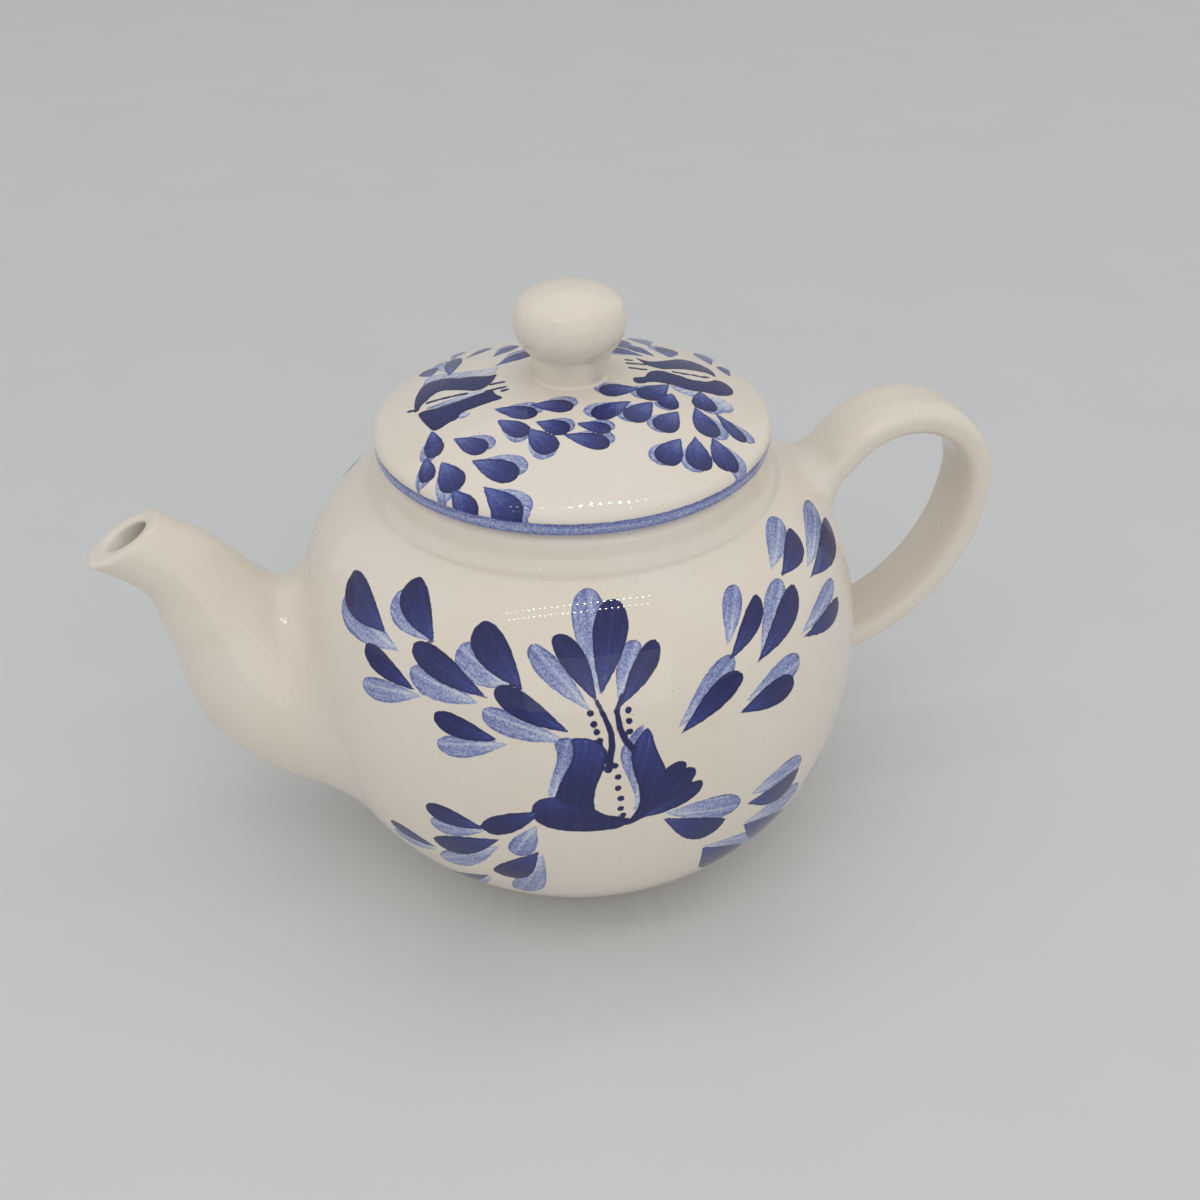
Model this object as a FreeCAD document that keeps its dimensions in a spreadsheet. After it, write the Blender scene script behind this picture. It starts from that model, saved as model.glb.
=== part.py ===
import FreeCAD, Part
import math
import os

import Sketcher

# A round-bellied glazed teapot with an overhanging lid.
# Lengths are millimetres and angles are degrees. Z is up and the origin is the centre of the foot.
# The spout points along -X and the handle along +X.

SIZES = (
    # Belly, thrown as one round shell
    ("body_diameter", 142.6),
    ("belly_height", 56.5),
    ("belly_curve_radius", 86.0),
    ("belly_band_above", 22.0),
    ("belly_band_below", 21.0),
    ("base_diameter", 88.0),
    ("wall", 4.6),
    ("floor_thickness", 5.0),
    # Foot ring under the belly
    ("foot_height", 3.0),
    ("foot_diameter", 85.0),
    ("foot_width", 6.0),
    ("foot_round", 0.9),
    # Collar round the mouth, which carries the lid
    ("seat_height", 112.0),
    ("collar_height", 9.0),
    ("shoulder_top_diameter", 100.0),
    ("cove_radius", 3.8),
    ("collar_round", 3.8),
    ("collar_width", 10.0),
    # Lid
    ("lid_overhang", 0.8),
    ("lid_rim_height", 4.95),
    ("lid_crown_radius", 110.0),
    ("lid_wall", 4.4),
    ("lid_edge_round", 2.8),
    ("lid_foot_round", 0.8),
    ("flange_clearance", 0.8),
    ("flange_depth", 10.0),
    ("flange_wall", 4.0),
    ("flange_round", 1.2),
    # Knob on the lid
    ("knob_foot_diameter", 16.4),
    ("knob_waist_diameter", 19.4),
    ("knob_waist_height", 6.6),
    ("knob_diameter", 26.0),
    ("knob_middle_height", 13.6),
    ("knob_height", 21.9),
    ("knob_crown_radius", 22.0),
    ("knob_round", 4.5),
    # Spout: distance out from the belly's side, height, slope and outer diameter of each ring along it
    ("spout_root_out", -13.3),
    ("spout_root_height", 46.5),
    ("spout_root_slope", 0.0),
    ("spout_root_diameter", 55.0),
    ("spout_swell_out", 6.7),
    ("spout_swell_height", 56.2),
    ("spout_swell_slope", 49.0),
    ("spout_swell_diameter", 43.6),
    ("spout_waist_out", 17.3),
    ("spout_waist_height", 75.6),
    ("spout_waist_slope", 62.0),
    ("spout_waist_diameter", 28.4),
    ("spout_throat_out", 25.7),
    ("spout_throat_height", 90.3),
    ("spout_throat_slope", 44.0),
    ("spout_throat_diameter", 20.0),
    ("spout_end_out", 46.7),
    ("spout_end_height", 103.2),
    ("spout_end_slope", 23.0),
    ("spout_end_diameter", 16.4),
    ("spout_wall", 3.2),
    ("spout_bore_overrun", 5.0),
    ("spout_lip_out", 37.0),
    ("spout_lip_height", 97.6),
    ("spout_lip_tilt", 26.5),
    # Strainer holes through the belly behind the spout
    ("strainer_hole_diameter", 5.5),
    ("strainer_ring_radius", 10.0),
    ("strainer_ring_holes", 6),
    # Handle, a pulled strap; distances out are from the belly's side
    ("handle_turn_out", 13.5),
    ("handle_turn_height", 87.8),
    ("handle_turn_radius", 20.5),
    ("handle_back_radius", 47.0),
    ("handle_arm_slope", 48.0),
    ("handle_arm_length", 18.0),
    ("handle_tail_out", -7.3),
    ("handle_width", 19.5),
    ("handle_thickness", 8.2),
    ("handle_edge_round", 3.6),
)

doc = FreeCAD.newDocument("teapot")
sheet = doc.addObject("Spreadsheet::Sheet", "sizes")
for row, (alias, size) in enumerate(SIZES, start=1):
    sheet.set("A%d" % row, alias)
    sheet.set("B%d" % row, str(size))
    sheet.setAlias("B%d" % row, alias)
doc.recompute()

AXIS = -2
ORIGIN = (-1, 1)
START, END, CENTRE = range(1, 4)
UP = FreeCAD.Vector(0, 0, 1)
LEAN = FreeCAD.Vector(0, -1, 0)
BELLY_SIDE = "sizes.body_diameter / 2"
MOUTH = "(sizes.shoulder_top_diameter / 2 - sizes.collar_width)"
LID_EDGE = "(sizes.shoulder_top_diameter / 2 - sizes.cove_radius + sizes.lid_overhang)"
HANDLE_TURN = BELLY_SIDE + " + sizes.handle_turn_out"
HANDLE_TAIL = BELLY_SIDE + " + sizes.handle_tail_out"
RIGHT_ANGLE = math.degrees(math.pi / 2)
TOUCH = 0.001


def number(expression):
    """The value of an expression on the sheet, for a sketch's first drawing."""
    return float(sheet.evalExpression(expression))


def point(across, up):
    """A point of a sketch, from two expressions."""
    return FreeCAD.Vector(number(across), number(up), 0)


def new_body(label):
    body = doc.addObject("PartDesign::Body", label)
    body.Label = label
    return body


def new_sketch(body, name, role):
    """An empty sketch on one of its own body's origin planes."""
    sketch = body.newObject("Sketcher::SketchObject", name)
    for feature in body.Origin.OriginFeatures:
        if feature.Role == role:
            sketch.AttachmentSupport = [(feature, "")]
    sketch.MapMode = "FlatFace"
    return sketch


def measure(sketch, kind, expression, *places):
    """Adds a dimension to a sketch and binds it to an expression on the sheet."""
    index = sketch.addConstraint(Sketcher.Constraint(kind, *places, number(expression)))
    sketch.setExpression("Constraints[%d]" % index, expression)


def place_point(sketch, geometry, position, across, up):
    measure(sketch, "DistanceX", across, *ORIGIN, geometry, position)
    measure(sketch, "DistanceY", up, *ORIGIN, geometry, position)


def relate(sketch, kind, *places):
    sketch.addConstraint(Sketcher.Constraint(kind, *places))


def add_line(sketch, start, end):
    return sketch.addGeometry(Part.LineSegment(start, end))


def add_arc(sketch, centre, start, end):
    """An arc that runs counterclockwise from start to end."""
    circle = Part.Circle(centre, UP, (start - centre).Length)
    return sketch.addGeometry(Part.ArcOfCircle(circle, circle.parameter(start), circle.parameter(end)))


def revolve(body, sketch):
    feature = body.newObject("PartDesign::Revolution", sketch.Name + "_turned")
    feature.Profile = sketch
    feature.ReferenceAxis = (sketch, ["V_Axis"])
    doc.recompute()
    return feature


def round_edges(body, base, edges, size):
    """Rounds the circular edges given as (diameter, height) expressions."""
    names = []
    for index, edge in enumerate(base.Shape.Edges, start=1):
        if edge.Degenerated or not isinstance(edge.Curve, Part.Circle):
            continue
        for diameter, height in edges:
            at_height = abs(edge.CenterOfMass.z - number(height)) < TOUCH
            same_size = abs(2 * edge.Curve.Radius - number(diameter)) < TOUCH
            if at_height and same_size:
                names.append("Edge%d" % index)
    if len(names) != len(edges):
        raise RuntimeError("%s: found edges %s" % (body.Label, names))
    fillet = body.newObject("PartDesign::Fillet", base.Name + "_rounded")
    fillet.Base = (base, names)
    fillet.Radius = number(size)
    fillet.setExpression("Radius", size)
    doc.recompute()
    return fillet


def tangent_centre(start, inward, end):
    """The centre of the arc that leaves start square to the inward direction and passes through end."""
    chord = end - start
    return start + inward * (chord.dot(chord) / (2 * inward.dot(chord)))


def draw_belly(sketch, inset):
    """Draws the three tangent arcs of the belly and returns them with their corner points.

    The inner set of arcs shares the outer set's centres, one wall inside it.
    """
    belly_centre = point("sizes.body_diameter / 2 - sizes.belly_curve_radius", "sizes.belly_height")
    radius = number("sizes.belly_curve_radius")
    ends = []
    for rise in (-number("sizes.belly_band_below"), number("sizes.belly_band_above")):
        ends.append(belly_centre + FreeCAD.Vector(math.sqrt(radius ** 2 - rise ** 2), rise, 0))
    low, high = ends
    base = point("sizes.base_diameter / 2", "sizes.foot_height")
    top = point("sizes.shoulder_top_diameter / 2", "sizes.seat_height - sizes.collar_height")
    low_centre = tangent_centre(low, (belly_centre - low).normalize(), base)
    high_centre = tangent_centre(high, (belly_centre - high).normalize(), top)
    if inset:
        wall = number("sizes.wall")
        low = low + (belly_centre - low).normalize() * wall
        high = high + (belly_centre - high).normalize() * wall
        base = base + (low_centre - base).normalize() * wall
        top = top + (high_centre - top).normalize() * wall
    lower = add_arc(sketch, low_centre, base, low)
    middle = add_arc(sketch, belly_centre, low, high)
    upper = add_arc(sketch, high_centre, high, top)
    relate(sketch, "Tangent", lower, END, middle, START)
    relate(sketch, "Tangent", middle, END, upper, START)
    return lower, middle, upper, base, top


def fix_outer_belly(sketch, lower, middle, upper):
    """Ties the outer arcs of the belly to the sheet."""
    set_back = "sizes.belly_curve_radius - sizes.body_diameter / 2"
    measure(sketch, "DistanceX", set_back, middle, CENTRE, *ORIGIN)
    measure(sketch, "DistanceY", "sizes.belly_height", *ORIGIN, middle, CENTRE)
    measure(sketch, "Radius", "sizes.belly_curve_radius", middle)
    measure(sketch, "DistanceY", "sizes.belly_height - sizes.belly_band_below", *ORIGIN, middle, START)
    measure(sketch, "DistanceY", "sizes.belly_height + sizes.belly_band_above", *ORIGIN, middle, END)
    place_point(sketch, lower, START, "sizes.base_diameter / 2", "sizes.foot_height")
    place_point(
        sketch, upper, END, "sizes.shoulder_top_diameter / 2", "sizes.seat_height - sizes.collar_height"
    )


def close_on_axis(sketch, first, last, bottom, top):
    """Joins an outline's two ends on the turning axis."""
    stem = add_line(sketch, FreeCAD.Vector(0, top, 0), FreeCAD.Vector(0, bottom, 0))
    relate(sketch, "Coincident", last, END, stem, START)
    relate(sketch, "Coincident", stem, END, first, START)
    relate(sketch, "PointOnObject", first, START, AXIS)
    relate(sketch, "PointOnObject", last, END, AXIS)


def make_belly_core():
    """The belly as a filled solid, which trims the spout and the handle to its outside."""
    body = new_body("belly_core")
    sketch = new_sketch(body, "belly_core_outline", "XZ_Plane")
    lower, middle, upper, base, top = draw_belly(sketch, False)
    fix_outer_belly(sketch, lower, middle, upper)
    floor = add_line(sketch, FreeCAD.Vector(0, base.y, 0), base)
    roof = add_line(sketch, top, FreeCAD.Vector(0, top.y, 0))
    relate(sketch, "Coincident", floor, END, lower, START)
    relate(sketch, "Coincident", upper, END, roof, START)
    relate(sketch, "Horizontal", floor)
    relate(sketch, "Horizontal", roof)
    close_on_axis(sketch, floor, roof, base.y, top.y)
    revolve(body, sketch)
    return body


def make_pot_body():
    """The belly shell, open at the mouth and pierced behind the spout."""
    body = new_body("pot_body")
    sketch = new_sketch(body, "belly_wall", "XZ_Plane")
    lower, middle, upper, base, top = draw_belly(sketch, False)
    fix_outer_belly(sketch, lower, middle, upper)
    in_lower, in_middle, in_upper, in_base, in_top = draw_belly(sketch, True)
    for inner, outer in ((in_lower, lower), (in_middle, middle), (in_upper, upper)):
        relate(sketch, "Coincident", inner, CENTRE, outer, CENTRE)
    measure(sketch, "Radius", "sizes.belly_curve_radius - sizes.wall", in_middle)
    mouth_edge = point(MOUTH, "sizes.seat_height - sizes.collar_height")
    under = add_line(sketch, FreeCAD.Vector(0, base.y, 0), base)
    land = add_line(sketch, top, mouth_edge)
    throat = add_line(sketch, mouth_edge, FreeCAD.Vector(mouth_edge.x, in_top.y, 0))
    roof = add_line(sketch, FreeCAD.Vector(mouth_edge.x, in_top.y, 0), in_top)
    spoke = add_line(sketch, top, sketch.Geometry[upper].Center)
    sketch.toggleConstruction(spoke)
    floor_height = number("sizes.foot_height + sizes.floor_thickness")
    floor = add_line(sketch, FreeCAD.Vector(in_base.x, floor_height, 0), FreeCAD.Vector(0, floor_height, 0))
    relate(sketch, "Coincident", under, END, lower, START)
    relate(sketch, "Coincident", upper, END, land, START)
    relate(sketch, "Coincident", land, END, throat, START)
    relate(sketch, "Coincident", throat, END, roof, START)
    relate(sketch, "Coincident", roof, END, in_upper, END)
    relate(sketch, "Coincident", spoke, START, upper, END)
    relate(sketch, "Coincident", spoke, END, upper, CENTRE)
    relate(sketch, "PointOnObject", in_upper, END, spoke)
    relate(sketch, "Coincident", in_lower, START, floor, START)
    for level in (under, land, roof, floor):
        relate(sketch, "Horizontal", level)
    relate(sketch, "Vertical", throat)
    measure(sketch, "DistanceX", MOUTH, *ORIGIN, throat, START)
    measure(sketch, "DistanceY", "sizes.foot_height + sizes.floor_thickness", *ORIGIN, floor, END)
    close_on_axis(sketch, under, floor, base.y, floor_height)
    revolve(body, sketch)
    pierce_strainer(body)
    return body


def strainer_sketch(body, name, radius):
    """A hole's outline, looking along the spout at the height of its root."""
    sketch = new_sketch(body, name, "YZ_Plane")
    sketch.setExpression("AttachmentOffset.Base.y", "sizes.spout_root_height")
    middle = FreeCAD.Vector(0, radius, 0)
    hole = sketch.addGeometry(Part.Circle(middle, UP, number("sizes.strainer_hole_diameter / 2")))
    measure(sketch, "Diameter", "sizes.strainer_hole_diameter", hole)
    return sketch, hole


def cut_hole(body, sketch):
    """Cuts through the belly wall on the spout's side."""
    pocket = body.newObject("PartDesign::Pocket", sketch.Name + "_cut")
    pocket.Profile = sketch
    pocket.Type = "Length"
    pocket.Length = number("sizes.body_diameter")
    pocket.setExpression("Length", "sizes.body_diameter")
    doc.recompute()
    return pocket


def pierce_strainer(body):
    sketch, hole = strainer_sketch(body, "strainer_middle", 0)
    relate(sketch, "Coincident", hole, CENTRE, *ORIGIN)
    cut_hole(body, sketch)
    sketch, hole = strainer_sketch(body, "strainer_outer", number("sizes.strainer_ring_radius"))
    relate(sketch, "PointOnObject", hole, CENTRE, AXIS)
    measure(sketch, "DistanceY", "sizes.strainer_ring_radius", *ORIGIN, hole, CENTRE)
    ring = body.newObject("PartDesign::PolarPattern", "strainer_ring")
    ring.Originals = [cut_hole(body, sketch)]
    ring.Axis = (sketch, ["N_Axis"])
    ring.setExpression("Occurrences", "sizes.strainer_ring_holes")
    body.Tip = ring
    doc.recompute()


def make_ring(label, inner, outer, low, high):
    """A plain turned ring; the four arguments are expressions."""
    body = new_body(label)
    sketch = new_sketch(body, label + "_section", "XZ_Plane")
    corners = [point(inner, low), point(outer, low), point(outer, high), point(inner, high)]
    sides = []
    for index, corner in enumerate(corners):
        sides.append(add_line(sketch, corner, corners[(index + 1) % len(corners)]))
    for index, side in enumerate(sides):
        relate(sketch, "Coincident", side, END, sides[(index + 1) % len(sides)], START)
    bottom, outside, top, inside = sides
    for level in (bottom, top):
        relate(sketch, "Horizontal", level)
    for upright in (outside, inside):
        relate(sketch, "Vertical", upright)
    place_point(sketch, bottom, START, inner, low)
    place_point(sketch, top, START, outer, high)
    return body, revolve(body, sketch)


def make_foot_ring():
    inner = "sizes.foot_diameter / 2 - sizes.foot_width"
    body, ring = make_ring("foot_ring", inner, "sizes.foot_diameter / 2", "0", "sizes.foot_height")
    rims = (("sizes.foot_diameter", "0"), ("sizes.foot_diameter - 2 * sizes.foot_width", "0"))
    round_edges(body, ring, rims, "sizes.foot_round")
    return body


def make_collar():
    """The ring round the mouth: a cove below, a rolled edge above and a flat seat for the lid."""
    body = new_body("neck_collar")
    sketch = new_sketch(body, "neck_collar_section", "XZ_Plane")
    land = "sizes.seat_height - sizes.collar_height"
    shoulder = "sizes.shoulder_top_diameter / 2"
    outside = "sizes.shoulder_top_diameter / 2 - sizes.cove_radius"
    inner_low = point(MOUTH, land)
    outer_low = point(shoulder, land)
    cove_top = point(outside, land + " + sizes.cove_radius")
    roll_start = point(outside, "sizes.seat_height - sizes.collar_round")
    roll_end = point(outside + " - sizes.collar_round", "sizes.seat_height")
    inner_top = point(MOUTH, "sizes.seat_height")
    under = add_line(sketch, inner_low, outer_low)
    cove = add_arc(sketch, FreeCAD.Vector(outer_low.x, cove_top.y, 0), cove_top, outer_low)
    side = add_line(sketch, cove_top, roll_start)
    roll = add_arc(sketch, FreeCAD.Vector(roll_end.x, roll_start.y, 0), roll_start, roll_end)
    seat = add_line(sketch, roll_end, inner_top)
    bore = add_line(sketch, inner_top, inner_low)
    relate(sketch, "Coincident", under, END, cove, END)
    relate(sketch, "Tangent", side, START, cove, START)
    relate(sketch, "Tangent", side, END, roll, START)
    relate(sketch, "Tangent", roll, END, seat, START)
    relate(sketch, "Coincident", seat, END, bore, START)
    relate(sketch, "Coincident", bore, END, under, START)
    relate(sketch, "Horizontal", under)
    relate(sketch, "Horizontal", seat)
    relate(sketch, "Vertical", side)
    relate(sketch, "Vertical", bore)
    place_point(sketch, under, START, MOUTH, land)
    measure(sketch, "DistanceX", shoulder, *ORIGIN, under, END)
    measure(sketch, "Radius", "sizes.cove_radius", cove)
    relate(sketch, "Vertical", cove, CENTRE, cove, END)
    measure(sketch, "Radius", "sizes.collar_round", roll)
    measure(sketch, "DistanceY", "sizes.seat_height", *ORIGIN, seat, END)
    revolve(body, sketch)
    return body


FLANGE_OUTSIDE = MOUTH + " - sizes.flange_clearance"
FLANGE_INSIDE = FLANGE_OUTSIDE + " - sizes.flange_wall"
LID_RIM = "sizes.seat_height + sizes.lid_rim_height"
CROWN_CENTRE = "%s - sqrt(sizes.lid_crown_radius ^ 2 - %s ^ 2)" % (LID_RIM, LID_EDGE)
KNOB_SEAT = CROWN_CENTRE + " + sqrt(sizes.lid_crown_radius ^ 2 - (sizes.knob_foot_diameter / 2) ^ 2)"


def make_lid_flange():
    """The locating ring that hangs inside the mouth."""
    low = "sizes.seat_height - sizes.flange_depth"
    body, ring = make_ring("lid_flange", FLANGE_INSIDE, FLANGE_OUTSIDE, low, "sizes.seat_height")
    rims = (("2 * (%s)" % FLANGE_OUTSIDE, low), ("2 * (%s)" % FLANGE_INSIDE, low))
    round_edges(body, ring, rims, "sizes.flange_round")
    return body


def make_lid_dome():
    """The lid's cap: a low dome with a flat land for the knob and a flat rim for the seat."""
    body = new_body("lid_dome")
    sketch = new_sketch(body, "lid_dome_section", "XZ_Plane")
    centre = point("0", CROWN_CENTRE)
    inner_radius = number("sizes.lid_crown_radius - sizes.lid_wall")
    inner_edge = number(FLANGE_INSIDE)
    rim_edge = number(LID_EDGE)
    seat = number("sizes.seat_height")
    rim_top = point(LID_EDGE, LID_RIM)
    land_edge = point("sizes.knob_foot_diameter / 2", KNOB_SEAT)
    land_middle = FreeCAD.Vector(0, land_edge.y, 0)
    inner_crown = FreeCAD.Vector(0, centre.y + inner_radius, 0)
    inner_low = FreeCAD.Vector(inner_edge, centre.y + math.sqrt(inner_radius ** 2 - inner_edge ** 2), 0)
    rim = add_line(sketch, FreeCAD.Vector(inner_edge, seat, 0), FreeCAD.Vector(rim_edge, seat, 0))
    edge = add_line(sketch, FreeCAD.Vector(rim_edge, seat, 0), rim_top)
    dome = add_arc(sketch, centre, rim_top, land_edge)
    land = add_line(sketch, land_edge, land_middle)
    stem = add_line(sketch, land_middle, inner_crown)
    hollow = add_arc(sketch, centre, inner_low, inner_crown)
    step = add_line(sketch, inner_low, FreeCAD.Vector(inner_edge, seat, 0))
    relate(sketch, "Coincident", rim, END, edge, START)
    relate(sketch, "Coincident", edge, END, dome, START)
    relate(sketch, "Coincident", dome, END, land, START)
    relate(sketch, "Coincident", land, END, stem, START)
    relate(sketch, "Coincident", stem, END, hollow, END)
    relate(sketch, "Coincident", hollow, START, step, START)
    relate(sketch, "Coincident", step, END, rim, START)
    relate(sketch, "Horizontal", rim)
    relate(sketch, "Horizontal", land)
    relate(sketch, "Vertical", edge)
    relate(sketch, "Vertical", step)
    relate(sketch, "PointOnObject", land, END, AXIS)
    relate(sketch, "PointOnObject", stem, END, AXIS)
    relate(sketch, "PointOnObject", dome, CENTRE, AXIS)
    relate(sketch, "Coincident", hollow, CENTRE, dome, CENTRE)
    measure(sketch, "DistanceY", CROWN_CENTRE, *ORIGIN, dome, CENTRE)
    measure(sketch, "Radius", "sizes.lid_crown_radius", dome)
    measure(sketch, "Radius", "sizes.lid_crown_radius - sizes.lid_wall", hollow)
    measure(sketch, "DistanceX", "sizes.knob_foot_diameter / 2", *ORIGIN, land, START)
    place_point(sketch, rim, START, FLANGE_INSIDE, "sizes.seat_height")
    measure(sketch, "DistanceX", LID_EDGE, *ORIGIN, rim, END)
    cap = revolve(body, sketch)
    cap = round_edges(body, cap, (("2 * " + LID_EDGE, LID_RIM),), "sizes.lid_edge_round")
    round_edges(body, cap, (("2 * " + LID_EDGE, "sizes.seat_height"),), "sizes.lid_foot_round")
    return body


def make_lid_knob():
    """A mushroom knob: a short neck that widens upward, a round side and a flatter crown."""
    body = new_body("lid_knob")
    sketch = new_sketch(body, "lid_knob_section", "XZ_Plane")
    foot = point("sizes.knob_foot_diameter / 2", KNOB_SEAT)
    waist_height = KNOB_SEAT + " + sizes.knob_waist_height"
    waist = point("sizes.knob_waist_diameter / 2", waist_height)
    widest = point("sizes.knob_diameter / 2", KNOB_SEAT + " + sizes.knob_middle_height")
    apex = point("0", KNOB_SEAT + " + sizes.knob_height")
    crown_radius = number("sizes.knob_crown_radius")
    side_centre = tangent_centre(widest, FreeCAD.Vector(-1, 0, 0), waist)
    side_radius = widest.x - side_centre.x
    crown_centre = apex - FreeCAD.Vector(0, crown_radius, 0)
    corner = meeting_point(side_centre, side_radius, crown_centre, crown_radius)
    bottom = FreeCAD.Vector(0, foot.y, 0)
    base = add_line(sketch, bottom, foot)
    neck = add_line(sketch, foot, waist)
    side = add_arc(sketch, side_centre, waist, corner)
    crown = add_arc(sketch, crown_centre, corner, apex)
    relate(sketch, "Coincident", base, END, neck, START)
    relate(sketch, "Coincident", neck, END, side, START)
    relate(sketch, "Coincident", side, END, crown, START)
    relate(sketch, "Horizontal", base)
    place_point(sketch, neck, START, "sizes.knob_foot_diameter / 2", KNOB_SEAT)
    place_point(sketch, neck, END, "sizes.knob_waist_diameter / 2", waist_height)
    measure(sketch, "DistanceY", KNOB_SEAT + " + sizes.knob_middle_height", *ORIGIN, side, CENTRE)
    swell = "sizes.knob_diameter / 2 - sizes.knob_waist_diameter / 2"
    rise = "sizes.knob_middle_height - sizes.knob_waist_height"
    measure(sketch, "Radius", "((%s) ^ 2 + (%s) ^ 2) / (2 * (%s))" % (swell, rise, swell), side)
    relate(sketch, "PointOnObject", crown, CENTRE, AXIS)
    measure(sketch, "Radius", "sizes.knob_crown_radius", crown)
    measure(sketch, "DistanceY", KNOB_SEAT + " + sizes.knob_height", *ORIGIN, crown, END)
    close_on_axis(sketch, base, crown, bottom.y, apex.y)
    knob = revolve(body, sketch)
    corners = (("2 * %r" % corner.x, "%r" % corner.y),)
    round_edges(body, knob, corners, "sizes.knob_round")
    return body


def meeting_point(first, first_radius, second, second_radius):
    """Where two circles of a section cross, on the outer side."""
    between = second - first
    gap = between.Length
    along = (gap ** 2 + first_radius ** 2 - second_radius ** 2) / (2 * gap)
    aside = math.sqrt(first_radius ** 2 - along ** 2)
    direction = FreeCAD.Vector(between).normalize()
    outward = FreeCAD.Vector(-direction.y, direction.x, 0)
    if outward.x < 0:
        outward = outward * -1
    return first + direction * along + outward * aside


def ring_sketch(body, name, reach, height, slope, diameter):
    """A circle across the spout; the last four arguments are expressions."""
    sketch = new_sketch(body, name, "XY_Plane")
    turned = FreeCAD.Rotation(LEAN, RIGHT_ANGLE - number(slope))
    sketch.AttachmentOffset = FreeCAD.Placement(FreeCAD.Vector(), turned)
    sketch.setExpression("AttachmentOffset.Base.x", "-(%s)" % reach)
    sketch.setExpression("AttachmentOffset.Base.z", height)
    sketch.setExpression("AttachmentOffset.Rotation.Angle", "%d - (%s)" % (RIGHT_ANGLE, slope))
    circle = sketch.addGeometry(Part.Circle(FreeCAD.Vector(), UP, number(diameter) / 2))
    relate(sketch, "Coincident", circle, CENTRE, *ORIGIN)
    measure(sketch, "Diameter", diameter, circle)
    return sketch


def spout_rings(body, name, thinner, overrun):
    """The five rings of the spout's outside, or of its bore, from the root to the end."""
    rings = []
    for part in ("root", "swell", "waist", "throat", "end"):
        place = "sizes.spout_%s_" % part
        reach = "%s + %sout" % (BELLY_SIDE, place)
        height = place + "height"
        slope = place + "slope"
        if part == "root":
            reach += " - (%s) * cos(%s)" % (overrun, slope)
            height += " - (%s) * sin(%s)" % (overrun, slope)
        if part == "end":
            reach += " + (%s) * cos(%s)" % (overrun, slope)
            height += " + (%s) * sin(%s)" % (overrun, slope)
        diameter = "%sdiameter - 2 * (%s)" % (place, thinner)
        rings.append(ring_sketch(body, "%s_%s" % (name, part), reach, height, slope, diameter))
    return rings


def make_spout_loft(name, thinner, overrun):
    """One smooth loft through the spout's rings, as a body of its own."""
    body = new_body(name)
    rings = spout_rings(body, name, thinner, overrun)
    loft = body.newObject("PartDesign::AdditiveLoft", name + "_loft")
    loft.Profile = rings[0]
    loft.Sections = rings[1:]
    doc.recompute()
    return body


def make_lip_cutter():
    """A block whose underside is the plane of the spout's oblique lip."""
    lip = doc.addObject("Part::Box", "lip_cutter")
    for side in ("Length", "Width", "Height"):
        lip.setExpression(side, "sizes.body_diameter")
    tilted = FreeCAD.Rotation(LEAN, number("sizes.spout_lip_tilt"))
    lip.Placement = FreeCAD.Placement(FreeCAD.Vector(), tilted)
    lip.setExpression("Placement.Rotation.Angle", "sizes.spout_lip_tilt")
    across = "-(%s + sizes.spout_lip_out) - %s * cos(sizes.spout_lip_tilt)" % (BELLY_SIDE, BELLY_SIDE)
    lip.setExpression("Placement.Base.x", across)
    lip.setExpression("Placement.Base.y", "-" + BELLY_SIDE)
    up = "sizes.spout_lip_height - %s * sin(sizes.spout_lip_tilt)" % BELLY_SIDE
    lip.setExpression("Placement.Base.z", up)
    return lip


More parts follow.
